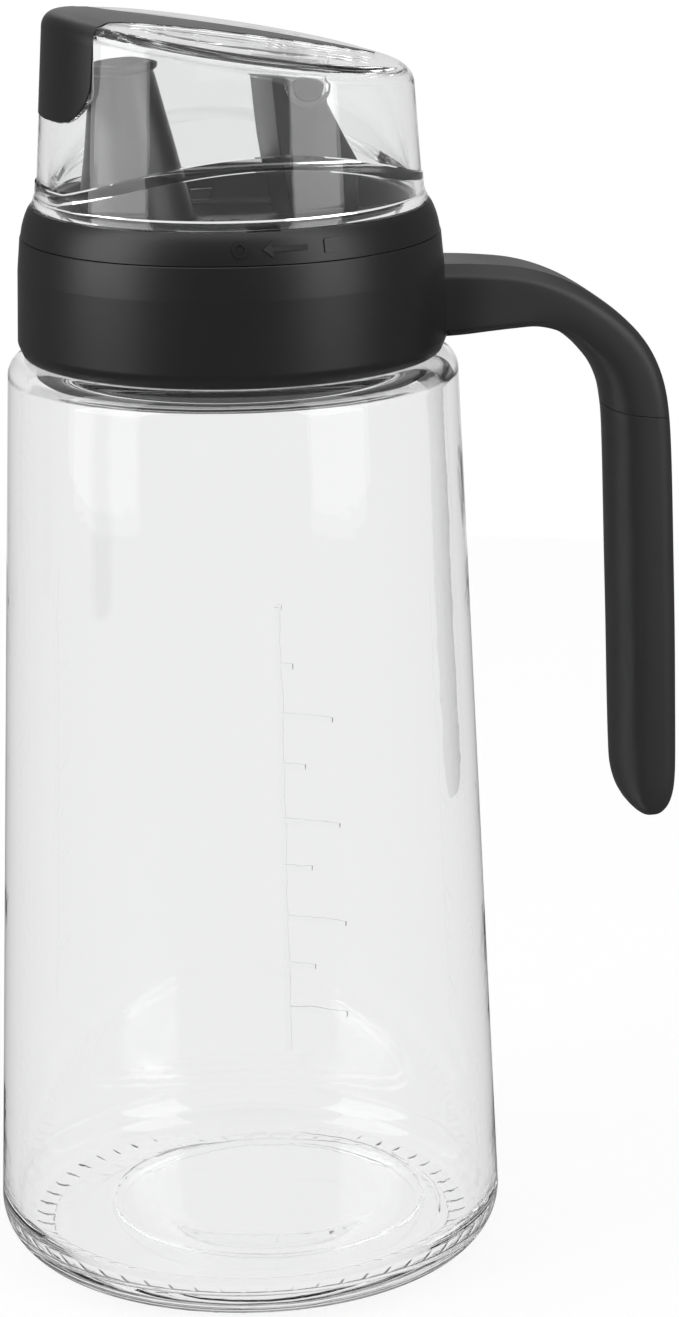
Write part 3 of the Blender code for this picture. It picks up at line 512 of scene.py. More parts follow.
def smooth_run(stations, steps):
    """Points on a smooth curve through stations of equal length."""
    out = []
    last = len(stations) - 1
    for i in range(last):
        p0, p1, p2, p3 = (stations[max(0, min(last, i + d))] for d in (-1, 0, 1, 2))
        for k in range(steps):
            t = k / steps
            out.append(tuple(0.5 * (2 * b + (c - a) * t + (2 * a - 5 * b + 4 * c - d) * t * t
                                    + (3 * b - a - 3 * c + d) * t ** 3) for a, b, c, d in zip(p0, p1, p2, p3)))
    out.append(tuple(stations[-1]))
    return out


def loft(name, rings):
    count = len(rings[0])
    points = [point for ring in rings for point in ring]
    faces = [list(range(count)), [len(points) - 1 - i for i in range(count)]]
    for level in range(len(rings) - 1):
        first = level * count
        for i in range(count):
            n = (i + 1) % count
            faces.append((first + n, first + i, first + count + i, first + count + n))
    return make(name, points, faces)


def grown(name, seed, sizes, wire, material):
    """What a geometry tree makes of a seed mesh; wire(graph, inputs) returns its last geometry."""
    tree = bpy.data.node_groups.new(name, "GeometryNodeTree")
    tree.interface.new_socket(name="Geometry", in_out="INPUT", socket_type="NodeSocketGeometry")
    tree.interface.new_socket(name="Geometry", in_out="OUTPUT", socket_type="NodeSocketGeometry")
    names = {}
    for label, value in sizes.items():
        kind = "NodeSocketInt" if isinstance(value, int) else "NodeSocketFloat"
        names[label] = tree.interface.new_socket(name=label, in_out="INPUT", socket_type=kind).identifier
    graph = Graph(tree)
    inputs = graph.node("NodeGroupInput")
    geometry = wire(graph, inputs)
    real = graph.node("GeometryNodeRealizeInstances", None, {"Geometry": geometry})["Geometry"]
    coloured = graph.node("GeometryNodeSetMaterial", None, {"Geometry": real, "Material": material})["Geometry"]
    graph.node("NodeGroupOutput", None, {"Geometry": coloured})
    change = seed.modifiers.new(name, "NODES")
    change.node_group = tree
    for label, value in sizes.items():
        change[names[label]] = value
    return bake(seed)


def settle(item, body, nodes, material, degrees):
    """Bring a finished piece into the frame, and say what it stands for. Edges above degrees stay sharp."""
    item.data.transform(Matrix.Translation((AXIS_X * MILLIMETRE, 0, 0)) @ Matrix.Scale(MILLIMETRE, 4))
    item.data.materials.clear()
    item.data.materials.append(material)
    for face in item.data.polygons:
        face.material_index = 0
    item.data.shade_smooth()
    item.data.set_sharp_from_angle(angle=math.radians(degrees))
    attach(item, body)
    if nodes:
        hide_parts(*nodes)


# Finishes


def finish_of(name, settings, sockets):
    """A surface with even values in settings; sockets(graph, place) gives those that vary."""
    material = bpy.data.materials.new(name)
    material.use_nodes = True
    graph = Graph(material.node_tree)
    place = graph.node("ShaderNodeTexCoord")["Object"]
    values = dict(settings)
    values.update(sockets(graph, place))
    surface = graph.node("ShaderNodeBsdfPrincipled", None, values)["BSDF"]
    graph.node("ShaderNodeOutputMaterial", None, {"Surface": surface})
    return material


def noise(graph, place, scale, detail):
    values = {"Vector": place, "Scale": scale, "Detail": detail, "Roughness": 0.5}
    return graph.node("ShaderNodeTexNoise", {"noise_dimensions": "3D"}, values)["Fac"]


def bump(graph, height, distance, strength):
    values = {"Height": height, "Distance": distance, "Strength": strength}
    return graph.node("ShaderNodeBump", None, values)["Normal"]


def between(graph, factor, first, second):
    """A colour between two."""
    return graph.node("ShaderNodeMix", {"data_type": "RGBA"}, {0: factor, 6: first, 7: second})[2]


def fade(graph, value, start, end):
    """0 at start, 1 at end, smooth between."""
    return graph.node("ShaderNodeMapRange", {"interpolation_type": "SMOOTHSTEP"},
                      {"Value": value, "From Min": start, "From Max": end})["Result"]


def blown_glass():
    def vary(graph, place):
        waves = noise(graph, place, 38.0, 1.0)
        drawn = noise(graph, place, 160.0, 2.0)
        return {"Roughness": 0.004 + 0.012 * drawn, "Normal": bump(graph, waves + 0.12 * drawn, 0.0006, 0.35)}
    even = {"Base Color": GLASS_COLOUR, "Transmission Weight": 1.0, "IOR": 1.47}
    return finish_of("clear_glass", even, vary)


def clear_moulding():
    def vary(graph, place):
        flow = noise(graph, place, 90.0, 1.0)
        haze = noise(graph, place, 900.0, 2.0)
        return {"Roughness": 0.01 + 0.03 * haze, "Normal": bump(graph, flow, 0.0002, 0.25)}
    even = {"Base Color": CLEAR_COLOUR, "Transmission Weight": 1.0, "IOR": 1.49}
    return finish_of("clear_plastic", even, vary)


def black_moulding():
    def vary(graph, place):
        grain = noise(graph, place, 5200.0, 2.0)
        patches = noise(graph, place, 60.0, 3.0)
        rubbed = noise(graph, place, 700.0, 4.0)
        dark = between(graph, patches, *BLACK_COLOURS)
        handle_light = fade(graph, graph.node("ShaderNodeSeparateXYZ", None, {0: place})["X"], *HANDLE_LIGHT_SPAN)
        # painted light: past the collar the black is mixed towards a lighter colour, standing in for how light falls
        # on the handle
        tone = between(graph, handle_light * (0.8 + 0.4 * patches), dark, HANDLE_PAINTED_LIGHT_COLOUR)
        return {"Base Color": tone, "Roughness": 0.3 + 0.08 * patches + 0.06 * rubbed + 0.07 * handle_light,
                "Normal": bump(graph, grain + 0.4 * rubbed, 0.00003, 0.5)}
    return finish_of("black_plastic", {"IOR": 1.5}, vary)


def soft_silicone():
    def vary(graph, place):
        cloud = noise(graph, place, 300.0, 3.0)
        tint = between(graph, cloud, *SILICONE_COLOURS)
        return {"Base Color": tint, "Roughness": 0.5 + 0.15 * cloud, "Normal": bump(graph, cloud, 0.00005, 0.5)}
    return finish_of("grey_silicone", {"IOR": 1.42}, vary)


GLASS = blown_glass()
CLEAR = clear_moulding()
BLACK = black_moulding()
SILICONE = soft_silicone()


# Glass body


def cone_radius(height):
    return BASE_RADIUS + (SHOULDER_RADIUS - BASE_RADIUS) * height / SHOULDER


def ease(value, start, end):
    """0 at start, 1 at end, smooth between."""
    share = min(1.0, max(0.0, (value - start) / (end - start)))
    return share * share * (3 - 2 * share)


def push_up(radius):
    return PUSH_UP * ease(radius, PUSH_UP_FOOT, PUSH_UP_TOP)


def push_up_rows():
    return [PUSH_UP_FOOT + (PUSH_UP_TOP - PUSH_UP_FOOT) * i / 10 for i in range(11)]


def glass_outside():
    middle = BEAD + BEAD_HEIGHT / 2
    corners = [(NECK_RADIUS - NECK_WALL / 2, NECK_TOP, 0), (NECK_RADIUS, NECK_TOP, 1.0)]
    corners += [(NECK_RADIUS, BEAD + BEAD_HEIGHT + 0.4, 0.6), (NECK_RADIUS + BEAD_DEPTH, middle, 0.9)]
    corners += [(NECK_RADIUS, BEAD - 0.4, 0.6), (NECK_RADIUS, SHOULDER, 0.8)]
    points = filleted(corners + [(NECK_RADIUS + 2, SHOULDER, 0)])
    side = SHOULDER - SHOULDER_ROUND
    points += arc((cone_radius(side) - SHOULDER_ROUND, side), SHOULDER_ROUND, 90, 0, 12)
    points += [(cone_radius(z), z) for z in WALL_RINGS]
    heel = cone_radius(BASE_ROUND) - BASE_ROUND
    points += arc((heel, BASE_ROUND), BASE_ROUND, 0, -90, 20)
    points += line((heel, 0), (RIDGE_INNER - 0.4, 0), 6)[1:]
    return points + [(radius, push_up(radius)) for radius in push_up_rows()] + [(0, PUSH_UP)]


def glass_inside():
    heel = (cone_radius(TROUGH + HEEL_ROUND) - GLASS_WALL - HEEL_ROUND, TROUGH + HEEL_ROUND)
    rows = push_up_rows()[::-1]
    points = [(0, TROUGH + PUSH_UP + STEP)]
    points += [(radius, TROUGH + push_up(radius) + STEP) for radius in rows if radius < STEP_RADIUS - 0.4]
    rim = TROUGH + push_up(STEP_RADIUS)
    points += filleted([(STEP_RADIUS - 0.3, rim + STEP, 0), (STEP_RADIUS, rim + STEP, 0.15),
                        (STEP_RADIUS + 0.15, rim, 0)], 3)
    points += [(radius, TROUGH + push_up(radius)) for radius in rows if radius > STEP_RADIUS + 0.4]
    points += arc(heel, HEEL_ROUND, -90, 0, 16)
    inner_top = SHOULDER - GLASS_WALL
    rounding = SHOULDER_ROUND - GLASS_WALL / 2
    points += [(cone_radius(z) - GLASS_WALL, z) for z in reversed(WALL_RINGS)]
    side = inner_top - rounding
    points += arc((cone_radius(side) - GLASS_WALL - rounding, side), rounding, 0, 90, 8)
    bore = NECK_RADIUS - NECK_WALL
    points += filleted([(bore + 3, inner_top, 0), (bore, inner_top, 1.6), (bore, SHOULDER + 4, 0)])
    points += filleted([(bore, NECK_TOP - 4, 0), (bore, NECK_TOP, 1.0), (bore + NECK_WALL / 2, NECK_TOP, 0)])[:-1]
    return points


def base_ridges(graph, inputs):
    """Sink the bearing ring but for short radial ridges."""
    place = graph.node("GeometryNodeInputPosition")["Position"]
    parts = graph.node("ShaderNodeSeparateXYZ", None, {0: place})
    x, y, z = parts["X"], parts["Y"], parts["Z"]
    radius = graph.sum("SQRT", x * x + y * y)
    turn = graph.sum("ARCTAN2", y, x)
    crest = RIDGE_CREST * graph.sum("COSINE", turn * inputs["Ridges"]) - (RIDGE_CREST - 1)
    wave = graph.sum("MAXIMUM", crest, 0.0)
    reach = inputs["Outer"] - inputs["Inner"]
    along = (radius - inputs["Inner"]) / reach
    hump = graph.sum("MAXIMUM", 4.0 * along * (1.0 - along), 0.0)
    crisp = graph.sum("POWER", hump, RIDGE_CRISP)
    under = graph.sum("LESS_THAN", z, inputs["Top"])
    sink = (wave - 1.0) * crisp * under * inputs["Height"]
    normal = graph.node("GeometryNodeInputNormal")["Normal"]
    offset = graph.node("ShaderNodeVectorMath", {"operation": "SCALE"},
                        {"Vector": normal, "Scale": sink})["Vector"]
    return graph.node("GeometryNodeSetPosition", None, {"Geometry": inputs["Geometry"], "Offset": offset})["Geometry"]


def graduation(graph, inputs):
    """Raised glass dashes and their upright line, bent round the wall."""
    section = graph.node("GeometryNodeCurvePrimitiveCircle", {"mode": "RADIUS"},
                         {"Resolution": MARK_SIDES, "Radius": inputs["Half Width"]})["Curve"]

    def bar(end, count):
        line = graph.node("GeometryNodeCurvePrimitiveLine", None, {"Start": (0, 0, 0), "End": end})["Curve"]
        run = graph.node("GeometryNodeResampleCurve", None, {0: line, "Count": count})["Curve"]
        return graph.node("GeometryNodeCurveToMesh", None,
                          {"Curve": run, "Profile Curve": section, "Fill Caps": True})["Mesh"]

    reach = graph.node("GeometryNodeInputNamedAttribute", {"data_type": "FLOAT"}, {"Name": "reach"})["Attribute"]
    stretch = graph.node("ShaderNodeCombineXYZ", None, {"X": reach, "Y": 1.0, "Z": 1.0})["Vector"]
    dashes = graph.node("GeometryNodeInstanceOnPoints", None,
                        {"Points": inputs["Geometry"], "Instance": bar((1, 0, 0), MARK_ROWS),
                         "Scale": stretch})["Instances"]
    upright = graph.node("GeometryNodeTransform", None,
                         {"Geometry": bar((0, 0, 1), 3), "Translation": (0, 0, MARK_LOW),
                          "Scale": (1, 1, DASHES[0][0] - MARK_LOW)})["Geometry"]
    both = graph.node("GeometryNodeJoinGeometry")
    for part in (dashes, upright):
        graph.tree.links.new(part.socket, both.node.inputs["Geometry"])
    real = graph.node("GeometryNodeRealizeInstances", None, {"Geometry": both["Geometry"]})["Geometry"]
    parts = graph.node("ShaderNodeSeparateXYZ", None, {0: graph.node("GeometryNodeInputPosition")["Position"]})
    crest = graph.sum("MAXIMUM", parts["Y"] / inputs["Half Width"] * -1.0, 0.0)
    proud = inputs["Height"] * graph.sum("POWER", crest, MARK_CREST) + inputs["Clear"]
    wall = inputs["Foot Radius"] + inputs["Slope"] * parts["Z"]
    turn = inputs["Angle"] - parts["X"] / wall
    out = wall + proud
    place = graph.node("ShaderNodeCombineXYZ", None, {"X": out * graph.sum("COSINE", turn),
                                                      "Y": out * graph.sum("SINE", turn), "Z": parts["Z"]})["Vector"]
    return graph.node("GeometryNodeSetPosition", None, {"Geometry": real, "Position": place})["Geometry"]


def neck_thread(graph, inputs):
    """One start of a round glass thread on the neck."""
    helix = graph.node("GeometryNodeCurveSpiral", None,
                       {"Resolution": THREAD_ROWS, "Rotations": inputs["Turns"], "Height": inputs["Rise"],
                        "Start Radius": inputs["Radius"], "End Radius": inputs["Radius"]})["Curve"]
    section = graph.node("GeometryNodeCurvePrimitiveCircle", {"mode": "RADIUS"},
                         {"Resolution": THREAD_SIDES, "Radius": inputs["Thickness"]})["Curve"]
    ridge = graph.node("GeometryNodeCurveToMesh", None,
                       {"Curve": helix, "Profile Curve": section, "Fill Caps": True})["Mesh"]
    foot = graph.node("ShaderNodeCombineXYZ", None, {"X": 0.0, "Y": 0.0, "Z": inputs["Foot"]})["Vector"]
    return graph.node("GeometryNodeSetPosition", None, {"Geometry": ridge, "Offset": foot})["Geometry"]


def build_glass():
    body = turned("glass_body", glass_outside() + glass_inside(), RIDGES * SIDES_PER_RIDGE)
    for vertex in body.data.vertices:
        if vertex.co.z < TROUGH + PUSH_UP + 1:
            vertex.co.x += PUSH_UP_SHIFT * ease(vertex.co.xy.length, PUSH_UP_FOOT + 1, PUSH_UP_FOOT - 7)
    sizes = {"Ridges": RIDGES, "Height": RIDGE_HEIGHT, "Inner": RIDGE_INNER, "Outer": RIDGE_OUTER,
             "Top": RIDGE_TOP}
    grown("base_ridges", body, sizes, base_ridges, GLASS)
    settle(body, "bottle", ["glass_bottle"], GLASS, SHARP_GLASS)

    seed = make("graduation", [(0, 0, z) for z, reach in DASHES], [])
    lengths = seed.data.attributes.new("reach", "FLOAT", "POINT")
    for value, (z, reach) in zip(lengths.data, DASHES):
        value.value = reach
    sizes = {"Half Width": MARK_HALF_WIDTH, "Height": MARK_HEIGHT, "Clear": MARK_CLEAR,
             "Foot Radius": BASE_RADIUS, "Slope": (SHOULDER_RADIUS - BASE_RADIUS) / SHOULDER, "Angle": MARK_ANGLE}
    grown("graduation_rule", seed, sizes, graduation, GLASS)
    settle(seed, "bottle", [], GLASS, SHARP_GLASS)

    thread = make("neck_thread", [(0, 0, 0)], [])
    sizes = {"Turns": THREAD_TURNS, "Radius": THREAD_RADIUS, "Rise": THREAD_RISE, "Thickness": THREAD_THICKNESS,
             "Foot": THREAD_FOOT}
    grown("thread_rule", thread, sizes, neck_thread, GLASS)
    settle(thread, "bottle", [], GLASS, SHARP_GLASS)


# Collar and handle


def handle_section(outer, inner, width):
    """A ring of the handle: creased on the arm, softly rounded along the grip."""
    soft = ease(outer[0], *HANDLE_SOFT)
    outer = Vector((outer[0], 0, outer[1]))
    inner = Vector((inner[0], 0, inner[1]))
    middle = (outer + inner) / 2
    out = (outer - inner).normalized()
    depth = (outer - inner).length / 2
    half = width / 2
    narrow = min(1.0, depth / HANDLE_SLIM)
    flat, flat_round = HANDLE_FLAT
    drop, inset, tight, loose = CREASE
    back_depth, back_width, back_round = HANDLE_BACK
    right = [(depth, half * flat, flat_round * narrow),
             (depth - drop * narrow, half - inset, (tight + loose * soft) * narrow),
             (back_depth * narrow - depth, half, back_round * narrow),
             (-depth, half - back_width * narrow, back_round * narrow)]
    left = [(a, -s, r) for a, s, r in reversed(right)]
    outline = filleted(right + left, HANDLE_FILLET)
    ring = []
    for i, corner in enumerate(outline):
        straight = i % (HANDLE_FILLET + 1) == HANDLE_FILLET
        after = outline[(i + 1) % len(outline)]
        for across, up in line(corner, after, HANDLE_STEPS)[:-1] if straight else [corner]:
            power = HANDLE_OVAL[0] if across < 0 else HANDLE_OVAL[1]
            oval = ((abs(across) / depth) ** power + (abs(up) / half) ** power) ** (-1 / power)
            grow = 1 + (oval - 1) * soft
            ring.append(middle + out * across * grow + Vector((0, up * grow, 0)))
    return ring


def handle_rings():
    return [handle_section(station[0:2], station[2:4], HANDLE_WIDTH * station[4])
            for station in smooth_run(HANDLE_STATIONS, HANDLE_STEPS)]


def seam_cut(item, low, high):
    place = Matrix.Translation((SEAM_X, 0, SEAM)) @ Matrix.Rotation(SEAM_TILT, 4, "Y")
    return cut(item, block("slab", (-SLAB[0], -SLAB[1], low), (SLAB[0], SLAB[1], high), place))


def build_collar():
    corners = [(COLLAR_BORE, COLLAR_TOP, 0.3), (COLLAR_UPPER, COLLAR_TOP, 0.3)]
    corners += [(COLLAR_MIDDLE, COLLAR_TOP - 6, 5), (COLLAR_LOWER, COLLAR_BOTTOM + 2.3, 2)]
    corners += [(COLLAR_LOWER - 1.0, COLLAR_BOTTOM, 0.5)]
    corners += [(LIP_RADIUS, COLLAR_BOTTOM, 0.3), (LIP_RADIUS, COLLAR_BOTTOM + LIP_HEIGHT, 0.3)]
    corners += [(COLLAR_BORE, COLLAR_BOTTOM + LIP_HEIGHT, 0.3)]
    collar = turned("collar_with_arm", filleted(corners))
    arm = seam_cut(loft("arm", handle_rings()), -SLAB[2], 0)
    length, depth, width = TONGUE
    tongue = block("tongue", (SEAM_X - depth / 2, -width / 2, SEAM - length),
                   (SEAM_X + depth / 2, width / 2, SEAM + TONGUE_ROOT))
    tongue = round_edges(tongue, 0.6)
    add_shells(collar, [arm, tongue])
    settle(collar, "bottle", ["handle_collar"], BLACK, SHARP_MOULDED)


def build_grip():
    grip = seam_cut(loft("handle_grip_sleeve", handle_rings()), -SEAM_GAP, SLAB[2])
    length, depth, width = TONGUE
    room = block("room", (SEAM_X - depth / 2 - GAP, -width / 2 - GAP, SEAM - length - GAP),
                 (SEAM_X + depth / 2 + GAP, width / 2 + GAP, SEAM + ROOM_OPEN))
    cut(grip, room)
    settle(grip, "bottle", ["handle_grip"], BLACK, SHARP_MOULDED)


# Lid


def band_radius(z):
    share = (z - BAND_BOTTOM) / (LEDGE - BAND_BOTTOM)
    for (across, up), (next_across, next_up) in zip(BAND_CURVE, BAND_CURVE[1:]):
        if up <= share <= next_up:
            mix = (share - up) / (next_up - up)
            return BAND_UPPER + (BAND_LOWER - BAND_UPPER) * (across + (next_across - across) * mix)
    return BAND_LOWER


def lid_profile():
    lip = WELL_RADIUS + LID_LIP
    points = filleted([(0, DECK, 0), (WELL_RADIUS, DECK, 1.2), (WELL_RADIUS, LID_LIP_TOP, 0.35),
                       (lip, LID_LIP_TOP, 0.35), (lip, LEDGE, 0.2), (BAND_UPPER, LEDGE, 0)])
    for across, up in reversed(BAND_CURVE):
        points.append((BAND_UPPER + (BAND_LOWER - BAND_UPPER) * across, BAND_BOTTOM + (LEDGE - BAND_BOTTOM) * up))
    outer = SOCKET_RADIUS + SOCKET_WALL
    points += filleted([(BAND_LOWER - 0.05, BAND_BOTTOM, 0), (outer, BAND_BOTTOM, 0.3), (outer, SOCKET_BOTTOM, 0.4),
                        (SOCKET_RADIUS, SOCKET_BOTTOM, 0.4), (SOCKET_RADIUS, DECK - DECK_THICKNESS, 0.5),
                        (0, DECK - DECK_THICKNESS, 0)])
    return points


def spout_place():
    return Matrix.Translation((SPOUT_X, 0, DECK)) @ Matrix.Rotation(-SPOUT_LEAN, 4, "Y")


def spout_radius(height):
    return SPOUT_BASE + (SPOUT_NECK - SPOUT_BASE) * height / SPOUT_HEIGHT


def facing(side):
    """Leaves the side of +Y as it is, or turns it to -Y."""
    return Matrix.Rotation(0 if side > 0 else math.pi, 4, "Z")


def tower_front(rise, base, inset):
    return [(TOWER_FOOT_X + (TOWER_TOP_X - TOWER_FOOT_X) * up + inset, base + rise * across)
            for across, up in TOWER_CURVE]


def build_lid():
    lid = turned("pouring_lid", lid_profile())
    under = SPOUT_HEIGHT - SPOUT_LIP
    outside = [(0, SPOUT_HEIGHT)]
    outside += arc((SPOUT_NECK, SPOUT_HEIGHT - SPOUT_LIP / 2), SPOUT_LIP / 2, 90, -90, 14)
    outside += filleted([(spout_radius(under) - 0.3, under, 0), (spout_radius(under - 1.5) - 0.2, under - 1.5, 0.8),
                         (spout_radius(1), 0.2, 2.2), (SPOUT_BASE + SPOUT_FOOT, 0, 0),
                         (SPOUT_BASE + SPOUT_FOOT, -SUNK, 0), (0, -SUNK, 0)])
    join(lid, turned("spout", outside, SMALL_ROUND, spout_place()))
    mouth = SPOUT_NECK - SPOUT_WALL
    bore = filleted([(0, SPOUT_HEIGHT + 4, 0), (mouth + 1.6, SPOUT_HEIGHT + 4, 0),
                     (mouth + 1.1, SPOUT_HEIGHT - 0.1, 0.8), (mouth, SPOUT_HEIGHT - SPOUT_LIP, 0.8),
                     (SPOUT_BASE - SPOUT_WALL, -SUNK, 0),
                     (SPOUT_BASE - SPOUT_WALL, -4, 0), (0, -4, 0)])
    cut(lid, turned("spout_bore", bore, SMALL_ROUND, spout_place()))

    foot = DECK - SUNK
    outline = tower_front(TOWER_FRONT - foot, foot, 0) + arc((PIVOT_X, PIVOT), TOWER_ROUND, 120, 20, 12)
    outline += filleted([(PIVOT_X + TOWER_ROUND * 1.02, PIVOT, 0),
                         (PIVOT_X + TOWER_ROUND * 1.1, PIVOT - TOWER_ROUND, 2),
                         (TOWER_REAR_X - TOWER_ROUND * 0.6, TOWER_SHOULDER + TOWER_ROUND * 1.15, 4),
                         (TOWER_REAR_X, TOWER_SHOULDER, 2), (TOWER_REAR_X, foot, 0)])[1:]
    tower = plate("tower", outline, -TOWER_HALF, TOWER_HALF, side_view)
    room = tower_front(PIVOT - foot - 1.9, DECK + TOWER_WALL / 2, TOWER_WALL)
    room += [(TOWER_REAR_X + 4, PIVOT - TRUNNION), (TOWER_REAR_X + 4, DECK + TOWER_WALL / 2)]
    tower = round_edges(tower, 0.45, 50)
    cut(tower, plate("room", room, -TOWER_HALF + TOWER_WALL, TOWER_HALF - TOWER_WALL, side_view))
    for side in (-1, 1):
        near, far = TOWER_HALF - TOWER_WALL / 2, CHEEK_INNER_Y + CHEEK + EYE_BOSS * 2
        low, high = sorted((side * near, side * far))
        join(tower, rod("trunnion", TRUNNION, low, high, PIVOT_X, PIVOT, 48, 0.25))
    join(lid, tower)

    width, thickness, depth = TAB
    outer_y = TAB_INNER_Y + thickness + GAP
    window_width, window_height, window_z = WINDOW
    for side in (-1, 1):
        turn = facing(side)
        cut(lid, block("tab_slot", (-width / 2 - GAP, TAB_INNER_Y - GAP * 2.5, LEDGE - depth - GAP),
                       (width / 2 + GAP, outer_y, LEDGE + 4), turn))
        cut(lid, block("window", (-window_width / 2, WELL_RADIUS - 4, window_z),
                       (window_width / 2, outer_y - thickness / 2, window_z + window_height), turn))
    vent = [(0, DECK + 4), (VENT_RADIUS, DECK + 4), (VENT_RADIUS, DECK - 6), (0, DECK - 6)]
    cut(lid, turned("vent", vent, 32, Matrix.Translation((VENT_X, 0, 0))))
    add_shells(lid, band_marks())
    settle(lid, "lid", ["lid_base"], BLACK, SHARP_MOULDED)


def band_marks():
    """Plain raised signs on the band for turning the lid: a ring, an arrow and a bar."""

    def wrap(across, up, level):
        radius = band_radius(up) + level
        angle = SIGNS_ANGLE + across / radius
        return (radius * math.cos(angle), radius * math.sin(angle), up)

    marks = []
    count = RING_SIDES
    centre, outer, inner = RING_SIGN
    points = []
    for level in SIGN_LEVELS:
        for radius in (outer, inner):
            for k in range(count):
                angle = 2 * math.pi * k / count
                points.append(wrap(centre + radius * math.cos(angle), SIGNS_HEIGHT + radius * math.sin(angle), level))
    faces = []
    for k in range(count):
        n = (k + 1) % count
        a, b, c, d = k, count + k, 2 * count + k, 3 * count + k
        an, bn, cn, dn = n, count + n, 2 * count + n, 3 * count + n
        faces += [(a, an, bn, b), (c, cn, dn, d), (a, an, cn, c), (b, bn, dn, d)]
    marks.append(make("ring_mark", points, faces))
    for name, outline in (("arrow_mark", ARROW_SIGN), ("bar_mark", filleted(BAR_SIGN, 3))):
        outline = [(u, SIGNS_HEIGHT + v) for u, v in outline]
        fine = []
        for here, after in zip(outline, outline[1:] + outline[:1]):
            fine += line(here, after, max(1, int(math.dist(here, after) / SIGN_PITCH)))[:-1]
        marks.append(plate(name, fine, *SIGN_LEVELS, wrap))
    return marks


# Skirt, cover and beak


def split_height(x):
    share = min(1.0, abs(x - SPLIT_PEAK_X) / SPLIT_RUN)
    return SPLIT_PEAK - (SPLIT_PEAK - SPLIT_LOW) * share ** 2


def lift(item, low, high, low_lift, high_lift):
    for vertex in item.data.vertices:
        x, y, z = vertex.co
        share = min(1.0, max(0.0, (z - low) / (high - low)))
        rise = low_lift(x, y) * (1 - share) + high_lift(x, y) * share
        pull = 1 - DRAFT * rise / COVER_RADIUS
        vertex.co = (x * pull, y * pull, z + rise)


def wall_radius(z):
    return COVER_RADIUS - DRAFT * (z - SPLIT_LOW)


def cover_line(wall_outset, roof_outset, bottom, drop):
    corner_round = ROOF_ROUND + (wall_outset + roof_outset) / 2
    top = ROOF + roof_outset
    corner_z = top - corner_round - ROOF_CROWN
    corner_x = wall_radius(corner_z) + wall_outset - corner_round
    points = []
    for i in range(10):
        share = i / 10
        points.append((corner_x * share, top - ROOF_CROWN * (corner_x * share / COVER_RADIUS) ** 2))
    points += arc((corner_x, corner_z), corner_round, 90, 0, 14)
    low = (wall_radius(bottom) + wall_outset, bottom - drop)
    return points + line(points[-1], low, 6)[1:]


def cover_shell(name, outset, wall, roof, bottom, bevel):
    outer = cover_line(outset, outset, bottom, 0)
    inner = cover_line(outset - wall, outset - roof, bottom, wall * bevel)
    return turned(name, outer + inner[::-1])


def roof_height(x, y):
    return ROOF - ROOF_SLOPE * x - ROOF_CROWN * (x * x + y * y) / COVER_RADIUS ** 2


def slope_cover(shell, low_lift):
    upper = ROOF - ROOF_CROWN - ROOF_ROUND * 1.6
    lift(shell, SPLIT_PEAK + SPLIT_GAP, upper, low_lift, lambda x, y: -ROOF_SLOPE * x)


def beak_solid(name, room, extra):
    """The beak, or with room round it and extra height the recess it lies in."""
    shell = cover_shell(name, BEAK_PROUD + extra, BEAK_THICKNESS + room + extra, BEAK_THICKNESS + room + extra,
                        SPLIT_PEAK - SPLIT_GAP, 0)
    slope_cover(shell, lambda x, y: 0)
    wide_x = -math.sqrt(wall_radius(ROOF) ** 2 - BEAK_HALF ** 2)
    plan, ahead, up = BEAK_PLATES
    near = [(-COVER_RADIUS - 4, -BEAK_HALF - room)]
    near += [(wide_x + (BEAK_TIP_X - wide_x) * along, -BEAK_HALF * across - room)
             for along, across in BEAK_TAPER[:-1]]
    far = [(x, -y) for x, y in reversed(near)]
    keep_inside(shell, plate("plan", near + [(BEAK_TIP_X + room, 0)] + far, ROOF - plan, ROOF + plan,
                             plan_view))
    corner = (BEAK_HALF - BEAK_CORNER, BEAK_BOTTOM + BEAK_CORNER)
    right = arc(corner, BEAK_CORNER + room, -90, 0, 16)
    left = [(-y, z) for y, z in reversed(right)]
    front = [(-BEAK_HALF - room, ROOF + up)] + left + right + [(BEAK_HALF + room, ROOF + up)]
    return keep_inside(shell, plate("front", front, -ahead, ahead, front_view))


def cheek_outline():
    eye = TRUNNION + GAP + EYE_WALL / 2
    cheek_y = CHEEK_INNER_Y + CHEEK
    rear = PIVOT_X + eye
    outline = []
    for i in range(13):
        x = CHEEK_FRONT_X + (rear - CHEEK_FRONT_X) * i / 12
        outline.append((x, roof_height(x, cheek_y) - ROOF_THICKNESS / 2))
    outline += arc((PIVOT_X, PIVOT), eye, 0, -180, 24)
    front = roof_height(CHEEK_FRONT_X, cheek_y) - ROOF_THICKNESS
    for across, down in reversed(CHEEK_CURVE):
        outline.append((CHEEK_FRONT_X + (PIVOT_X - CHEEK_FRONT_X) * across, front - (front - PIVOT) * down))
    return outline


def build_cover():
    cover = cover_shell("clear_hood", 0, COVER_WALL, ROOF_THICKNESS, SPLIT_PEAK + SPLIT_GAP / 2, SPLIT_BEVEL)
    slope_cover(cover, lambda x, y: split_height(x) - SPLIT_PEAK)
    eye = TRUNNION + GAP + EYE_WALL
    for side in (-1, 1):
        near, far = CHEEK_INNER_Y, CHEEK_INNER_Y + CHEEK + EYE_BOSS * 2
        middle = (near + far) / 2
        low, high = sorted((side * (middle - CHEEK / 2), side * (middle + CHEEK / 2)))
        join(cover, plate("cheek", cheek_outline(), low, high, side_view))
        low, high = sorted((side * near, side * far))
        join(cover, rod("eye", eye, low, high, PIVOT_X, PIVOT, 64, 0.2))
    reach = CHEEK_INNER_Y + CHEEK + 1.6
    cut(cover, rod("eye_hole", TRUNNION + GAP, -reach, reach, PIVOT_X, PIVOT, 64))
    cut(cover, beak_solid("recess", *RECESS))
    settle(cover, "cover", ["flip_cover"], CLEAR, SHARP_HOOD)


def build_beak():
    settle(beak_solid("beak_inlay", 0, 0), "cover", ["cover_beak"], BLACK, SHARP_HOOD)


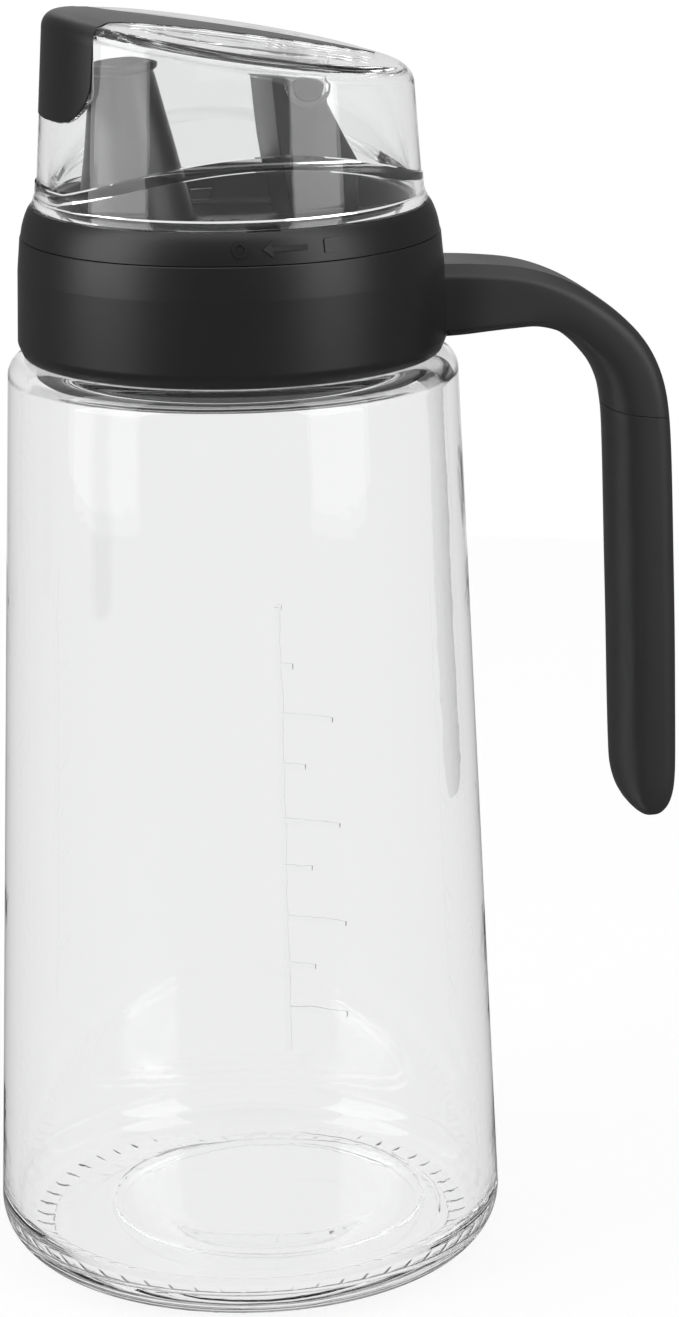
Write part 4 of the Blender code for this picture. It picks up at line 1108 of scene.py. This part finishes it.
def build_skirt():
    top = SPLIT_PEAK - SPLIT_GAP / 2
    top_radius = SKIRT_RADIUS - DRAFT * (top - SKIRT_FOOT - FLARE_HEIGHT)
    flare = SKIRT_FOOT_RADIUS - SKIRT_RADIUS
    flare_top = SKIRT_FOOT + FLARE_HEIGHT
    points = line((top_radius, top), (SKIRT_RADIUS, flare_top), 6)
    for i in range(1, 13):
        share = i / 12
        points.append((SKIRT_RADIUS + flare * share ** 2, flare_top - FLARE_HEIGHT * share))
    inner_top = top - SKIRT_WALL * SPLIT_BEVEL
    bottom = LID_LIP_TOP + GAP * 2
    points += [(SKIRT_BORE, SKIRT_FOOT), (SKIRT_BORE, LID_LIP_TOP + GAP)]
    points += line((SKIRT_RADIUS - SKIRT_WALL, bottom), (top_radius - SKIRT_WALL, inner_top), 6)
    skirt = turned("clear_ring", points)
    lift(skirt, bottom, inner_top, lambda x, y: 0, lambda x, y: split_height(x) - SPLIT_PEAK)
    width, thickness, depth = TAB
    window_width, window_height, window_z = WINDOW
    for side in (-1, 1):
        turn = facing(side)
        outer_y = TAB_INNER_Y + thickness
        join(skirt, block("tab", (-width / 2, TAB_INNER_Y, LEDGE - depth),
                          (width / 2, outer_y, SKIRT_FOOT + 0.8), turn))
        join(skirt, block("hook", (-window_width / 2 + GAP, WELL_RADIUS + GAP, window_z + GAP),
                          (window_width / 2 - GAP, outer_y - thickness / 2, window_z + window_height - GAP), turn))
    settle(skirt, "lid", ["clear_skirt"], CLEAR, SHARP_HOOD)


def build_seal():
    inner, outer, low, high = SEAL
    corners = [(outer, high, 0.3), (outer, low, 0.5), (inner, low, 0.5), (inner, high, 0.3)]
    for i in range(1, SEAL_PARTS):
        radius = inner + (outer - inner) * i / SEAL_PARTS
        corners += [(radius - GROOVE_HALF, high, 0), (radius, high - GROOVE_DEPTH, 0),
                    (radius + GROOVE_HALF, high, 0)]
    ring = turned("sealing_ring", filleted(corners, 4))
    settle(ring, "seal", ["neck_seal"], SILICONE, SHARP_SEAL)


# Studio


def levels(graph, reflected):
    """How bright the surroundings are for each kind of ray."""
    path = graph.node("ShaderNodeLightPath")
    seen, shiny, through = path["Is Camera Ray"], path["Is Glossy Ray"], path["Is Transmission Ray"]
    glow = WORLD_DIFFUSE + (1 - WORLD_DIFFUSE) * seen + (reflected - WORLD_DIFFUSE) * shiny
    return glow + (WORLD_THROUGH - reflected) * through, seen, shiny


def set_surroundings():
    world = bpy.data.worlds.new("white_room")
    world.use_nodes = True
    graph = Graph(world.node_tree)
    way = graph.node("ShaderNodeSeparateXYZ", None, {0: graph.node("ShaderNodeTexCoord")["Generated"]})
    ahead = BACKDROP_AHEAD[0] * way["X"] + BACKDROP_AHEAD[1] * way["Y"]
    aside = graph.sum("ABSOLUTE", BACKDROP_AHEAD[1] * way["X"] - BACKDROP_AHEAD[0] * way["Y"])
    behind = fade(graph, aside, *BACKDROP_EDGE) * fade(graph, ahead, *BACKDROP_START)
    above = fade(graph, way["Z"], *OVERHEAD_START) * (1.0 - behind)
    lamps = (BACKDROP_REFLECTED - WORLD_REFLECTED) * behind + (OVERHEAD_REFLECTED - WORLD_REFLECTED) * above
    glow = levels(graph, WORLD_REFLECTED + lamps)[0]
    light = graph.node("ShaderNodeBackground", None, {"Color": (1, 1, 1, 1), "Strength": glow})["Background"]
    graph.node("ShaderNodeOutputWorld", None, {"Surface": light})
    bpy.context.scene.world = world


def set_floor():
    points = [(0, 0, 0)]
    for k in range(FLOOR_SIDES):
        angle = math.tau * k / FLOOR_SIDES
        points.append((FLOOR_RADIUS * math.cos(angle), FLOOR_RADIUS * math.sin(angle), 0))
    faces = [(0, 1 + k, 1 + (k + 1) % FLOOR_SIDES) for k in range(FLOOR_SIDES)]
    mesh = bpy.data.meshes.new("floor")
    mesh.from_pydata(points, [], faces)
    floor = bpy.data.objects.new("floor", mesh)
    bpy.context.scene.collection.objects.link(floor)
    material = bpy.data.materials.new("pale_floor")
    material.use_nodes = True
    graph = Graph(material.node_tree)
    glow, seen, shiny = levels(graph, WORLD_REFLECTED)
    lit = graph.node("ShaderNodeBsdfDiffuse", None, {"Color": FLOOR_COLOUR})["BSDF"]
    bright = graph.node("ShaderNodeEmission", None, {"Color": (1, 1, 1, 1), "Strength": glow})["Emission"]
    mixed = graph.node("ShaderNodeMixShader", None, {0: FLOOR_GLOW * seen + shiny, 1: lit, 2: bright})["Shader"]
    graph.node("ShaderNodeOutputMaterial", None, {"Surface": mixed})
    mesh.materials.append(material)


def softbox(name, turn, distance, width, low, high, strength):
    height = high - low
    light = bpy.data.lights.new(name, "AREA")
    light.shape = "RECTANGLE"
    light.size = width
    light.size_y = height
    light.energy = strength * math.pi * width * height
    lamp = bpy.data.objects.new(name, light)
    angle = math.radians(turn)
    lamp.location = (distance * math.cos(angle) + AXIS_X * MILLIMETRE, distance * math.sin(angle), (low + high) / 2)
    aim = Vector((AXIS_X * MILLIMETRE, 0, (low + high) / 2)) - lamp.location
    lamp.rotation_euler = aim.to_track_quat("-Z", "Y").to_euler()
    lamp.visible_camera = False
    bpy.context.scene.collection.objects.link(lamp)


def set_camera():
    data = bpy.data.cameras.new("camera")
    data.sensor_fit = "VERTICAL"
    data.sensor_height = 36
    data.lens = LENS
    data.clip_start = 0.01
    camera = bpy.data.objects.new("camera", data)
    level = math.cos(CAMERA_PITCH)
    turn = CAMERA_YAW - CAMERA_TURN
    ahead = Vector((math.sin(turn) * level, math.cos(turn) * level, -math.sin(CAMERA_PITCH)))
    right = ahead.cross(Vector((0, 0, 1))).normalized()
    up = right.cross(ahead)
    roll = Matrix.Rotation(CAMERA_ROLL, 3, ahead)
    right, up = roll @ right, roll @ up
    camera.matrix_world = Matrix.Translation(CAMERA) @ Matrix((right, up, -ahead)).transposed().to_4x4()
    bpy.context.scene.collection.objects.link(camera)
    bpy.context.scene.camera = camera


set_camera()
build_glass()
build_collar()
build_grip()
build_lid()
build_skirt()
build_cover()
build_beak()
build_seal()
set_surroundings()
set_floor()
for name, values in SOFTBOXES.items():
    softbox(name, *values)
bpy.context.scene.view_settings.view_transform = "Standard"
bpy.context.scene.cycles.max_bounces = 24
bpy.context.scene.cycles.glossy_bounces = 16
bpy.context.scene.cycles.transmission_bounces = 24
